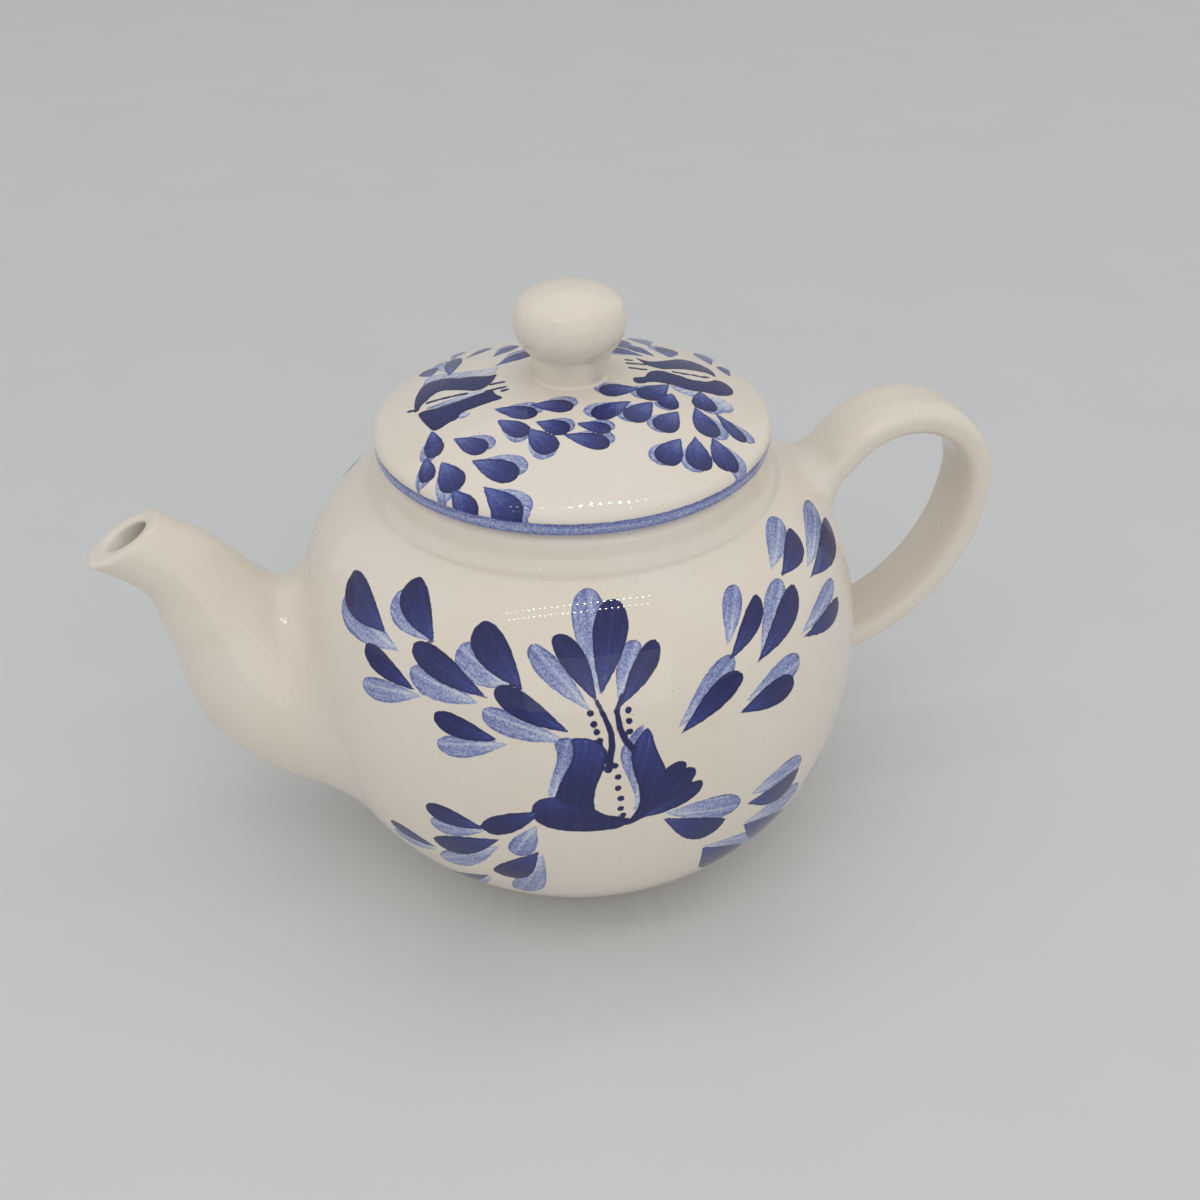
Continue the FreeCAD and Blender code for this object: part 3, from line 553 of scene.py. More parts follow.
RIGHT_BRANCH = (
    (7, 17, 19, 61, 4, 2, (0, -1.5, 20, -10)),
    (18.5, 30, 16.5, 49, 1.5, 3.5, (2.5, -2, 14, -18)),
    (24.5, 27, 21, 60, 2.5, 4, (2, -0.5, 18, -13)),
    (19, 17.5, 17.5, 89, 3.5, 3, (2, -2, 18.5, -7)),
    (38, 26, 20, 93, 1.5, 3.5, (-1, -1, 21, -10)),
    (39, 41, 14.5, 66, 1.5, 5, (-0.5, -3, 15.5, -4)),
    (47, 36, 25, 87, 2.5, 5, (1, -2, 22.5, -11)),
)
LOWER_LEFT = (
    (-17.5, 0, 17, -121, 3, 3, (4, -3, 13, -32)),
    (-26, -11, 20, -114, 5, 2, (1, -2, 23, -16)),
    (-28.5, -8.5, 15.5, -83, 3, 3, (0, -0.5, 15, -18)),
    (-41, -22.5, 14.5, -87, 2.5, 2.5, (0, -1.5, 15, -12)),
    (-30.5, -29, 19, -128, 4, 1, (0, -1, 18, -14)),
    (-19, -14, 17, -137, 5.5, 2, (-0.5, -1, 25, -25)),
)
LOWER_RIGHT = (
    (3.5, -5, 18.5, 115, 1, 6.5, (-0.5, -1.5, 21, -9)),
    (21.5, -10.5, 18.5, 90, 1, 7, (0.5, -3, 18.5, 3)),
    (22, -18.5, 24, 123, 2.5, 7.5, (0, -0.5, 21.5, -22)),
    (13, -21, 19, 129, 1.5, 9.5, (-0.5, -0.5, 25, -2)),
    (42, -24.5, 11, 78, 1, 2.5, (0, -1.5, 12, -8)),
)

# The flower between the branches: places across the front and above the widest ring
LEFT_PETAL = (
    (-15.5, 19.5), (-12, 19.5), (-8.5, 18), (-7.5, 15), (-8.5, 11), (-10.5, 6.5), (-11, 1),
    (-10, -1.5), (-20, 1), (-18.5, 7.5), (-16, 12), (-14.5, 16.5),
)
LEFT_PETAL_WASH = (
    (-19, 19), (-15, 20), (-14, 16.5), (-16, 12), (-18, 7.5), (-19, 2), (-21, 4), (-20, 9), (-18, 14.5),
)
FLOWER_BASE = (
    (-25, 1), (-22, 4), (-17, 4), (-12, 1.5), (-8.5, -1.5), (-5, -2.5), (-2.5, -3.5), (-4.5, -6),
    (-9.5, -6.5), (-15, -6.5), (-21, -5.5), (-24, -3.5),
)
RIGHT_PETAL = (
    (1.5, 21), (-1, 18), (-2.5, 15), (-2.5, 12), (-1.5, 7.5), (-0.5, 2.5), (-1.5, -1.5), (-5, -6),
    (0, -4), (6, -1), (9, 2.5), (6, 7), (5, 10), (3, 15), (2.5, 18),
)
RIGHT_PETAL_WASH = (
    (1, 22), (-2.5, 19), (-5, 15.5), (-4.5, 11.5), (-3, 7.5), (-1.5, 2), (-2.5, -2), (-0.5, 0), (0, 10),
    (0, 19),
)
# The flower's patches: the layer, the outline and the way that the brush ran
FLOWER = (
    ("pale", LEFT_PETAL_WASH, ((-20, 3), (-16, 20))),
    ("pale", RIGHT_PETAL_WASH, ((-2, -2), (0, 22))),
    ("dark", LEFT_PETAL, ((-11, 22), (-15, 0))),
    ("dark", RIGHT_PETAL, ((3, 22), (-3, -4))),
    ("dark", FLOWER_BASE, ((-14, 6), (-14, -4))),
)
# Lobes of the leaf at the flower's right: place of the tip, length, turn, and reach on the left and right
LEAF_LOBES = ((-1, -2, 16, 42, 3, 2), (-2, -3, 17.5, 54, 3, 2.5), (-2, -4, 17.5, 66, 2, 3))
STAMENS = (
    ((-9, 27.5), (-7.5, 23.5), (-6.5, 20), (-6.5, 17), (-7.5, 11)),
    ((-3.5, 28.5), (-5, 25), (-4.5, 21), (-3.5, 18), (-1.5, 15)),
)
POLLEN = (
    (-10.5, 25), (-10, 22.5), (-9.5, 20.5), (-9, 18.5), (-2.5, 25), (-2.5, 22.5), (-2.5, 20),
    (-6, 12), (-5.5, 9), (-5.5, 6), (-5, 3), (-5, 0), (-4.5, -2),
)

# Strokes on the lid, seen from above: the tip, the round end, the width, and the side its shadow is on
LID_LEFT = (
    ((-34, -9.5), (-34.5, -19), 4.5, 1),
    ((-36.5, -18), (-37, -25.5), 4, 1),
    ((-33.5, -21.5), (-31.5, -31), 6, 1),
    ((-30, -15.5), (-24, -23), 5, -1),
    ((-27.5, -24.5), (-19, -33), 6, -1),
    ((-32.5, -30.5), (-29.5, -39), 5, 1),
    ((-26, -33), (-20.5, -43), 6, -1),
    ((-31, 19), (-31, 26.5), 5, 1),
    ((-27, 14), (-24, 28), 4.5, -1),
    ((-25, 29), (-21, 36), 3, -1),
    ((-22, 25), (-15, 30), 3, -1),
    ((-16, 19), (-9, 26), 4, -1),
    ((-16, 12), (-6.5, 17), 5, -1),
)
LID_FRONT = (
    ((-20, -9.5), (-11.5, -15.5), 5, -1),
    ((-12, -11.5), (-3, -15), 5, -1),
    ((-20, -14), (-14.5, -21.5), 5, 1),
    ((-12, -18), (-5.5, -23), 5, -1),
    ((-14, -19.5), (-10, -28.5), 6, 1),
    ((-7, -24), (2, -29), 5, -1),
    ((-3.5, -21), (3.5, -24.5), 4, -1),
)
LID_RIGHT = (
    ((14.5, -9), (5, -10), 5.5, 1),
    ((22, -6.5), (14, -13), 6, 1),
    ((11, -14.5), (1.5, -19.5), 5.5, 1),
    ((16, -14.5), (9, -21.5), 6, 1),
    ((21.5, -10.5), (18.5, -17), 5, 1),
    ((21, -18), (15, -25), 6, 1),
    ((29, -8), (28, -16.5), 6, -1),
    ((25.5, -15.5), (26.5, -26), 6, -1),
    ((30, -17), (34, -26), 4, -1),
    ((19, -27.5), (13, -35), 6, 1),
    ((22.5, -26.5), (21, -36.5), 6, 1),
    ((26.5, -26), (28, -36), 6, -1),
    ((17, 12), (12.5, 15.5), 2.5, 1),
    ((19.5, 19.5), (17, 25), 3, 1),
    ((23, 10), (18, 17.5), 4, 1),
    ((26.5, 10.5), (28, 20), 6, -1),
    ((24, 20), (23, 31), 6, 1),
    ((37.5, 11), (37.5, 22), 4.5, 1),
    ((40.5, 5), (40, 11.5), 3, 1),
)
# The lid's two flowers, seen from above: outlines of their petals and washes, and the dashes between them
LID_PETALS = (
    (
        (-37, 0.5), (-36.5, 5.5), (-35.5, 10), (-34, 13.5), (-33, 15), (-30.5, 15), (-27.5, 13.5),
        (-25, 10.5), (-22.5, 9.5), (-20.5, 8), (-18, 6.5), (-16, 7), (-18.5, 2), (-22, 0), (-24.5, 2.5),
        (-27.5, 5), (-30, 7), (-32, 6), (-34, 4), (-35, 3), (-36, 1),
    ),
    (
        (-36.5, 0), (-34, 0), (-31.5, -1.5), (-25, -1.5), (-20, -1), (-18.5, -1.5), (-18.5, -3.5),
        (-17, -5.5), (-17.5, -6.5), (-20, -6.5), (-25.5, -7), (-27.5, -7.5), (-27.5, -9), (-30.5, -9.5),
        (-32, -10.5), (-33.5, -10.5), (-34.5, -8.5), (-35.5, -5),
    ),
    (
        (17, 8.5), (19, 7), (20.5, 6), (24.5, 7.5), (29, 11), (32.5, 11), (35.5, 8), (36.5, 4), (35.5, 1.5),
        (34.5, 3.5), (32, 3.5), (29, 3.5), (25, 2.5), (22.5, 1.5), (20.5, 2.5), (19, 3.5), (18.5, 5),
    ),
    (
        (17.5, -2), (19, 0), (22, 1), (23.5, 0), (26, -1), (28, -2.5), (30.5, -2.5), (33, -2), (35.5, 0.5),
        (37.5, -0.5), (38.5, -3), (38, -6), (36, -8), (33, -9), (31, -8.5), (26.5, -8.5), (24, -7.5),
        (22.5, -6.5), (18, -5.5), (15.5, -7), (13.5, -6.5), (13.5, -4.5), (14.5, -3.5), (17, -3.5),
    ),
)
LID_WASHES = (
    (
        (-34, 14), (-32, 19), (-30, 19.5), (-27, 16.5), (-24.5, 14.5), (-20, 12), (-17.5, 11), (-15, 13),
        (-15.5, 10), (-17, 7), (-20.5, 8), (-25, 10.5), (-30.5, 15),
    ),
    ((-35, 1), (-31.5, 0.5), (-25, 0.5), (-19, 0), (-20, -1.5), (-25, -1.5), (-31.5, -1.5)),
    ((-28, -7), (-25, -7.5), (-25, -9.5), (-28, -9.5)),
    ((22, -6.5), (26, -8), (28.5, -9), (27, -11.5), (24, -10.5), (22, -8.5)),
    ((31, -9.5), (34, -10), (36, -13), (34.5, -16), (31.5, -16.5), (30.5, -13)),
)
LID_DASHES = (
    ((-33.5, 3.2), (-30, 2.4)), ((-29.5, 2.2), (-28.2, 1.9)), ((-27.2, 1.6), (-24.5, 0.8)),
    ((-18.5, 1.7), (-15.6, 1.4)), ((-20, -1), (-15.7, -1.3)), ((-16.6, -2.8), (-15.5, -2.8)),
    ((-38, 2.8), (-36, 1.6)), ((25, 0.7), (26.3, 0.6)), ((27, 0.4), (28.6, 0.4)),
    ((29.8, 0.4), (31.2, 0.2)), ((32.1, 0.2), (33.6, 0.8)), ((14.6, 1.4), (16.3, 1.1)),
    ((17, 0.8), (18.2, 0.8)), ((14.8, 6.5), (15.9, 6.2)), ((14.5, 4.3), (18.5, 3.8)),
)


def paint_belly(angles, radii, rises):
    """The spray of flowers on the front, and the same again on the back."""
    folded = (angles + 90) % 180 - 90
    canvas = Canvas(np.radians(folded) * radii, rises, thinnest=0.35, thickest=1.0)
    for branch in (LEFT_BRANCH, CROWN, RIGHT_BRANCH, LOWER_LEFT, LOWER_RIGHT):
        for angle, rise, size, turn, left, right, shadow in branch:
            canvas.across = np.radians(folded - angle) * radii
            canvas.stroke((0, rise), size, turn, left, right, shadow)
    canvas.across = np.radians(folded) * radii
    for layer, outline, flow in FLOWER:
        canvas.patch(layer, outline, flow)
    for across, rise, size, turn, left, right in LEAF_LOBES:
        canvas.teardrop("dark", (across, rise), size, turn, left, right)
    for line in STAMENS:
        canvas.thread("dark", line, start_width=1.0, end_width=1.7)
    for place in POLLEN:
        canvas.dot(place, radius=0.8)
    return canvas


def paint_lid(across, up, edge):
    """Two flowers with their sprays, a spray between them and the band round the rim."""
    band = millimetres(bpy.context.scene.teapot.lid).band
    out_of_reach = 1000
    canvas = Canvas(np.where(edge < band, out_of_reach, across), up, thinnest=0.1, thickest=0.8)
    overrun = 1.06
    shadow_along = 0.5
    shadow_aside = -0.8
    shadow_stretch = 1.05
    shadow_turn = 16
    behind = []
    for tip, end, width, side in LID_FRONT:
        behind.append(((-tip[0], -tip[1]), (-end[0], -end[1]), width, side))
    for tip, end, width, side in LID_LEFT + LID_FRONT + LID_RIGHT + tuple(behind):
        heading = math.degrees(math.atan2(end[0] - tip[0], end[1] - tip[1]))
        size = math.dist(tip, end) * overrun
        half = width / 2
        shadow = (shadow_along, side * shadow_aside, size * shadow_stretch, side * shadow_turn)
        canvas.stroke(tip, size, heading, half, half, shadow)
    for wash in LID_WASHES:
        ends = np.array(wash)
        canvas.patch("pale", wash, (ends.max(axis=0), ends.min(axis=0)))
    full_load = ((-90, 0), (-45, 0))
    for petal in LID_PETALS:
        canvas.patch("dark", petal, full_load)
    for dash in LID_DASHES:
        canvas.thread("dark", dash, start_width=1.1, end_width=0.9)
    everywhere = np.ones(across.shape, dtype=bool)
    band_load = np.full(across.shape, 1.2)
    band_streaks = edge * 2
    canvas.lay("pale", everywhere, band - edge, band_load, band_streaks)
    return canvas


# Materials


def add_node(tree, kind, inputs=None, **settings):
    """Adds a node with its settings, and its inputs as values, sockets or nodes to link from."""
    node = tree.nodes.new(kind)
    for name, value in settings.items():
        setattr(node, name, value)
    for socket, value in (inputs or {}).items():
        if isinstance(value, bpy.types.Node):
            value = value.outputs[0]
        if isinstance(value, bpy.types.NodeSocket):
            tree.links.new(value, node.inputs[socket])
        else:
            node.inputs[socket].default_value = value
    return node


# Map Range nodes ease between their ends, and Mix nodes blend colours through these sockets
EASED = {"interpolation_type": "SMOOTHSTEP"}
COLOURS = {"data_type": "RGBA"}
MIX_SHARE = 0
MIX_UNDER = 6
MIX_OVER = 7
MIX_RESULT = 2


def opaque(colour_value, share=1):
    """A colour with full cover, darkened to a share of itself."""
    return (*(level * share for level in colour_value), 1)


def brushed(tree, layer, place, weight, gain, mottle):
    """One layer of brushwork: its mask, and its colour from how thickly the cobalt lies.

    The load of cobalt starts at the weight and grows by the gain along a stroke. The mottle is how far the
    streaks of the brush's hairs and the grain of the clay change it.
    """
    finish = bpy.context.scene.teapot.finish
    ragged_size = 1.6 * MM
    drift_size = 30 * MM
    grain_size = 0.5 * MM
    ragged_reach = 0.25
    soft_edge = 0.12
    hairs_per_mm = 1.4
    pool_width = 0.9
    pool_load = 0.16
    waver = add_node(tree, "ShaderNodeTexNoise", {"Vector": place, "Scale": 1 / ragged_size, "Detail": 3})
    inputs = {0: waver, 1: ragged_reach * 2, 2: -ragged_reach}
    ragged = add_node(tree, "ShaderNodeMath", inputs, operation="MULTIPLY_ADD")
    depth = add_node(tree, "ShaderNodeAttribute", attribute_name=layer + "_cover").outputs["Fac"]
    along = add_node(tree, "ShaderNodeAttribute", attribute_name=layer + "_along").outputs["Fac"]
    aside = add_node(tree, "ShaderNodeAttribute", attribute_name=layer + "_aside").outputs["Fac"]
    cover = add_node(tree, "ShaderNodeMath", {0: depth, 1: ragged}, operation="ADD")
    edges = {"Value": cover, "From Min": COVER_EDGE - soft_edge, "From Max": COVER_EDGE + soft_edge}
    mask = add_node(tree, "ShaderNodeMapRange", edges, **EASED)
    drift = add_node(tree, "ShaderNodeTexNoise", {"Vector": place, "Scale": 1 / drift_size, "Detail": 3})
    lanes = add_node(tree, "ShaderNodeCombineXYZ", {"X": along, "Y": aside, "Z": drift})
    hairs = add_node(tree, "ShaderNodeTexNoise", {"Vector": lanes, "Scale": hairs_per_mm, "Detail": 4})
    grain = add_node(tree, "ShaderNodeTexNoise", {"Vector": place, "Scale": 1 / grain_size, "Detail": 4})
    growth = {"Value": along, "From Min": 0.05, "From Max": 0.95, "To Min": weight, "To Max": weight + gain}
    load = add_node(tree, "ShaderNodeMapRange", growth, **EASED)
    for texture in (hairs, grain):
        swing = add_node(tree, "ShaderNodeMath", {0: texture, 1: 0.5}, operation="SUBTRACT")
        load = add_node(tree, "ShaderNodeMath", {0: swing, 1: mottle, 2: load}, operation="MULTIPLY_ADD")
    pooled = {"Value": cover, "From Min": COVER_EDGE, "From Max": COVER_EDGE + pool_width}
    pooled |= {"To Min": pool_load, "To Max": 0}
    pool = add_node(tree, "ShaderNodeMapRange", pooled, **EASED)
    load = add_node(tree, "ShaderNodeMath", {0: load, 1: pool}, operation="ADD")
    shades = add_node(tree, "ShaderNodeValToRGB", {"Fac": load})
    stops = (finish.film, finish.wash, finish.middle, finish.deep, finish.navy)
    elements = shades.color_ramp.elements
    while len(elements) < len(stops):
        elements.new(1)
    for element, level, shade in zip(elements, np.linspace(0, 1, len(stops)), stops):
        element.position = level
        element.color = opaque(shade)
    return mask, shades


def make_glaze(tree):
    """Clear glaze, fired over cream clay and brushed cobalt.

    It gives the eye a warm off-white with sparse iron specks, blue strokes that sit under the gloss, and
    highlights that waver a little with the glaze's thickness.
    """
    finish = bpy.context.scene.teapot.finish
    speck_pitch = 1.5 * MM
    warm_size = 45 * MM
    ripple_size = 9 * MM
    gloss_size = 14 * MM
    place = add_node(tree, "ShaderNodeTexCoord").outputs["Object"]
    cells = add_node(tree, "ShaderNodeTexVoronoi", {"Vector": place, "Scale": 1 / speck_pitch})
    chosen = add_node(tree, "ShaderNodeSeparateColor", {"Color": cells.outputs["Color"]})
    rare = add_node(tree, "ShaderNodeMapRange", {"Value": chosen, "From Min": 0.6}, **EASED)
    near = {"Value": cells.outputs["Distance"], "From Min": 0.13, "From Max": 0.04}
    speck = add_node(tree, "ShaderNodeMapRange", near, **EASED)
    speck = add_node(tree, "ShaderNodeMath", {0: speck, 1: rare}, operation="MULTIPLY")
    speck = add_node(tree, "ShaderNodeMath", {0: speck, 1: 0.8}, operation="MULTIPLY")
    clouds = add_node(tree, "ShaderNodeTexNoise", {"Vector": place, "Scale": 1 / warm_size, "Detail": 3})
    spread = {"Value": clouds, "From Min": 0.35, "From Max": 0.65}
    drift = add_node(tree, "ShaderNodeMapRange", spread, **EASED)
    warm = opaque([level * share for level, share in zip(finish.cream, (0.985, 0.965, 0.935))])
    pale_mask, pale_shade = brushed(tree, "pale", place, weight=-0.06, gain=0.5, mottle=0.9)
    dark_mask, dark_shade = brushed(tree, "dark", place, weight=0.52, gain=0.46, mottle=0.35)
    pale_mask = add_node(tree, "ShaderNodeMath", {0: pale_mask, 1: 0.92}, operation="MULTIPLY")
    layers = (
        (drift, warm),
        (speck, opaque(finish.speck)),
        (pale_mask, pale_shade),
        (dark_mask, dark_shade),
    )
    shade = opaque(finish.cream)
    for share, over in layers:
        inputs = {MIX_SHARE: share, MIX_UNDER: shade, MIX_OVER: over}
        shade = add_node(tree, "ShaderNodeMix", inputs, **COLOURS).outputs[MIX_RESULT]
    waves = add_node(tree, "ShaderNodeTexNoise", {"Vector": place, "Scale": 1 / ripple_size, "Detail": 2})
    ripple = add_node(tree, "ShaderNodeBump", {"Strength": 0.25, "Distance": 0.06 * MM, "Height": waves})
    patches = add_node(tree, "ShaderNodeTexNoise", {"Vector": place, "Scale": 1 / gloss_size, "Detail": 3})
    gloss = {"Value": patches, "From Min": 0.3, "From Max": 0.7, "To Min": 0.015, "To Max": 0.035}
    rough = add_node(tree, "ShaderNodeMapRange", gloss, **EASED)
    inputs = {"Base Color": shade, "Roughness": rough, "IOR": 1.5, "Normal": ripple}
    surface = add_node(tree, "ShaderNodeBsdfPrincipled", inputs)
    add_node(tree, "ShaderNodeOutputMaterial", {"Surface": surface})


def make_bare_clay(tree):
    """Dry fired clay, sponged clean of glaze: a matt buff with a sandy grain that tells the foot apart."""
    clay = bpy.context.scene.teapot.finish.clay
    sand_size = 0.6 * MM
    place = add_node(tree, "ShaderNodeTexCoord").outputs["Object"]
    grain = add_node(tree, "ShaderNodeTexNoise", {"Vector": place, "Scale": 1 / sand_size, "Detail": 5})
    spread = {"Value": grain, "From Min": 0.35, "From Max": 0.7}
    share = add_node(tree, "ShaderNodeMapRange", spread, **EASED)
    inputs = {MIX_SHARE: share, MIX_UNDER: opaque(clay), MIX_OVER: opaque(clay, 0.8)}
    shade = add_node(tree, "ShaderNodeMix", inputs, **COLOURS).outputs[MIX_RESULT]
    sand = add_node(tree, "ShaderNodeBump", {"Strength": 0.4, "Distance": 0.1 * MM, "Height": grain})
    inputs = {"Base Color": shade, "Roughness": 0.85, "Normal": sand}
    surface = add_node(tree, "ShaderNodeBsdfPrincipled", inputs)
    add_node(tree, "ShaderNodeOutputMaterial", {"Surface": surface})


def make_paper(tree):
    """Matt photo paper: an even pale grey with the faintest tooth, so that the shadow reads softly."""
    backdrop = bpy.context.scene.teapot.finish.backdrop
    cloud_size = 60 * MM
    place = add_node(tree, "ShaderNodeTexCoord").outputs["Object"]
    clouds = add_node(tree, "ShaderNodeTexNoise", {"Vector": place, "Scale": 1 / cloud_size, "Detail": 3})
    spread = {"Value": clouds, "From Min": 0.3, "From Max": 0.7}
    share = add_node(tree, "ShaderNodeMapRange", spread, **EASED)
    inputs = {MIX_SHARE: share, MIX_UNDER: opaque(backdrop), MIX_OVER: opaque(backdrop, 0.985)}
    shade = add_node(tree, "ShaderNodeMix", inputs, **COLOURS).outputs[MIX_RESULT]
    surface = add_node(tree, "ShaderNodeBsdfPrincipled", {"Base Color": shade, "Roughness": 0.7})
    add_node(tree, "ShaderNodeOutputMaterial", {"Surface": surface})


def material_for(name, maker):
    """The material of a name, filled in by its function the first time that it is asked for."""
    if name not in bpy.data.materials:
        material = bpy.data.materials.new(name)
        material.use_nodes = True
        material.node_tree.nodes.clear()
        maker(material.node_tree)
    return bpy.data.materials[name]


def glazed(piece, body, *nodes):
    """Gives a piece its glaze and its body, and hides the CAD nodes that it stands for."""
    piece.data.materials.append(material_for("glazed_cream_clay", make_glaze))
    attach(piece, body)
    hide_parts(*nodes)


# Operators


class TEAPOT_OT_pot(bpy.types.Operator):
    """Turns the belly and its collar as one wall, and paints the sprays of flowers on it"""

    bl_idname = "teapot.pot"
    bl_label = "Pot"

    def execute(self, context):
        pot = millimetres(context.scene.teapot.pot)
        segments = 760
        fine = 0.62
        coarse = 4.0
        sparse = 12.0
        base_room = 2
        floor_room = 1
        outside = belly_profile(pot, 0, fine)
        under = run(flat(AXIS_GAP, BELLY_FOOT), flat(pot.base_radius - base_room, BELLY_FOOT), sparse)
        neck = SHOULDER_RADIUS - pot.cove
        cove_end = flat(neck, LAND_HEIGHT + pot.cove)
        roll_start = flat(neck, SEAT_HEIGHT - pot.roll)
        roll_end = flat(neck - pot.roll, SEAT_HEIGHT)
        lip = flat(pot.mouth_radius + pot.mouth_round, SEAT_HEIGHT)
        lip_end = flat(pot.mouth_radius, SEAT_HEIGHT - pot.mouth_round)
        inside = belly_profile(pot, pot.wall, coarse)[::-1]
        floor = BELLY_FOOT + pot.floor
        inside = inside[inside[:, 1] > floor + floor_room]
        throat_end = flat(pot.mouth_radius, inside[0, 1])
        floor_edge = flat(inside[-1, 0] - floor_room, floor)
        profile = np.concatenate([
            flat(AXIS_GAP, BELLY_FOOT)[None],
            under,
            outside,
            sweep(flat(SHOULDER_RADIUS, cove_end[1]), outside[-1], cove_end, fine),
            roll_start[None],
            sweep(flat(roll_end[0], roll_start[1]), roll_start, roll_end, fine),
            lip[None],
            sweep(flat(lip[0], lip_end[1]), lip, lip_end, pot.mouth_round / 4),
            run(lip_end, throat_end, coarse),
            inside,
            run(floor_edge, flat(AXIS_GAP, floor), sparse),
        ])
        grid = turned(profile, segments)
        piece = grid_object("pot_wall", grid, ("first", "last"))
        first = 1 + len(under)
        painted = grid[first:first + len(outside)].reshape(-1, 3)
        reach = running_length(outside)
        rises = reach - np.interp(pot.belly_height, outside[:, 1], reach)
        angles = np.degrees(np.arctan2(painted[:, 0], -painted[:, 1]))
        radii = np.repeat(outside[:, 0], segments)
        canvas = paint_belly(angles, radii, np.repeat(rises, segments))
        write_layers(piece, canvas, first * segments, len(painted))
        glazed(piece, "pot", "pot_body", "neck_collar")
        return {"FINISHED"}


class TEAPOT_OT_foot(bpy.types.Operator):
    """Gives the CAD foot ring its bare clay"""

    bl_idname = "teapot.foot"
    bl_label = "Foot"

    def execute(self, context):
        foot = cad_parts["foot_ring"]
        foot.data.materials.clear()
        foot.data.materials.append(material_for("bare_fired_clay", make_bare_clay))
        return {"FINISHED"}


def spout_line(count):
    """Middle points, forward directions and outer radii along the spout."""
    places = np.array([(-reach, height) for reach, height, _, _ in SPOUT_RINGS])
    slopes = np.radians([slope for _, _, slope, _ in SPOUT_RINGS])
    radii = np.array([diameter / 2 for _, _, _, diameter in SPOUT_RINGS])
    forward = np.stack([-np.cos(slopes), np.sin(slopes)], axis=1)
    knots = running_length(places)
    at = np.linspace(0, knots[-1], count)
    middle = np.stack([hermite(knots, places[:, part], forward[:, part], at) for part in range(2)], axis=1)
    heading = np.gradient(middle, at, axis=0)
    heading /= np.linalg.norm(heading, axis=1)[:, None]
    return middle, heading, hermite(knots, radii, np.gradient(radii, knots), at)


def spout_tube(thinner, segments):
    """Rings of the spout's outside, or of its thinner bore, from the root outward.

    Near the lip the bore narrows and rises a little, because the clay is thickest under it.
    """
    rings = 160
    lip_only = 6
    extra_wall = 0.9
    bore_lift = 0.5
    middle, heading, radii = spout_line(rings)
    angles = np.arange(segments) * 2 * math.pi / segments
    upward = np.stack([heading[:, 1], -heading[:, 0]], axis=1)
    upward *= np.sign(upward[-1, 1])
    narrowing = np.linspace(0, 1, rings)[:, None] ** lip_only
    radii = radii[:, None] - thinner * (1 + narrowing * extra_wall)
    across = radii * np.cos(angles) + thinner * narrowing * bore_lift
    grid = np.zeros((rings, segments, 3))
    grid[:, :, 0] = middle[:, :1] + upward[:, :1] * across
    grid[:, :, 2] = middle[:, 1:] + upward[:, 1:] * across
    grid[:, :, 1] = radii * np.sin(angles)
    return grid


def cut_at_plane(grid, place, normal):
    """The grid with every line along it ended where it first crosses a plane."""
    heights = (grid - place) @ normal
    lines = []
    for column in range(grid.shape[1]):
        line = grid[:, column]
        rise = heights[:, column]
        last = np.nonzero((rise[:-1] < 0) & (rise[1:] >= 0))[0].max()
        share = -rise[last] / (rise[last + 1] - rise[last])
        end = line[last] + (line[last + 1] - line[last]) * share
        kept = np.concatenate([line[:last + 1], end[None]])
        lines.append(respaced(kept, 0, len(grid)))
    return np.stack(lines, axis=1)


class TEAPOT_OT_spout(bpy.types.Operator):
    """Draws the spout with its bore, its slanted lip and the clay smoothed onto the belly at its root"""

    bl_idname = "teapot.spout"
    bl_label = "Spout"

    def execute(self, context):
        settings = context.scene.teapot
        spout = millimetres(settings.spout)
        outside = belly_profile(millimetres(settings.pot), 0, 1.0)
        segments = 144
        bore_step = 3
        lip_steps = 9
        rounding = 0.9
        tilt = math.radians(SPOUT_LIP_TILT)
        normal = np.array([-math.sin(tilt), 0, math.cos(tilt)])
        place = np.array([-spout.lip_reach, 0, spout.lip_height]) - normal * rounding
        outer = cut_at_plane(spout_tube(0, segments), place, normal)
        inner = cut_at_plane(spout_tube(spout.wall, segments), place, normal)
        outer = rooted(outer, outside, spout.root_blend, tail_rings=110)
        middle = (outer[-1] + inner[-1]) / 2
        rim = []
        for turn in np.linspace(0, math.pi, lip_steps)[1:-1]:
            rim.append(middle + (outer[-1] - middle) * math.cos(turn) + normal * rounding * math.sin(turn))
        grid = np.concatenate([outer, np.stack(rim), inner[::-bore_step]])
        piece = grid_object("spout_tube", grid)
        glazed(piece, "pot", "spout")
        return {"FINISHED"}


def strap_section(handle, count):
    """The strap's section, a softened oblong: thickness, then width."""
    angles = np.arange(count) * 2 * math.pi / count
    squareness = 2 / 2.9
    across = np.sign(np.cos(angles)) * np.abs(np.cos(angles)) ** squareness * handle.thickness / 2
    wide = np.sign(np.sin(angles)) * np.abs(np.sin(angles)) ** squareness * handle.width / 2
    return np.stack([across, wide], axis=1)


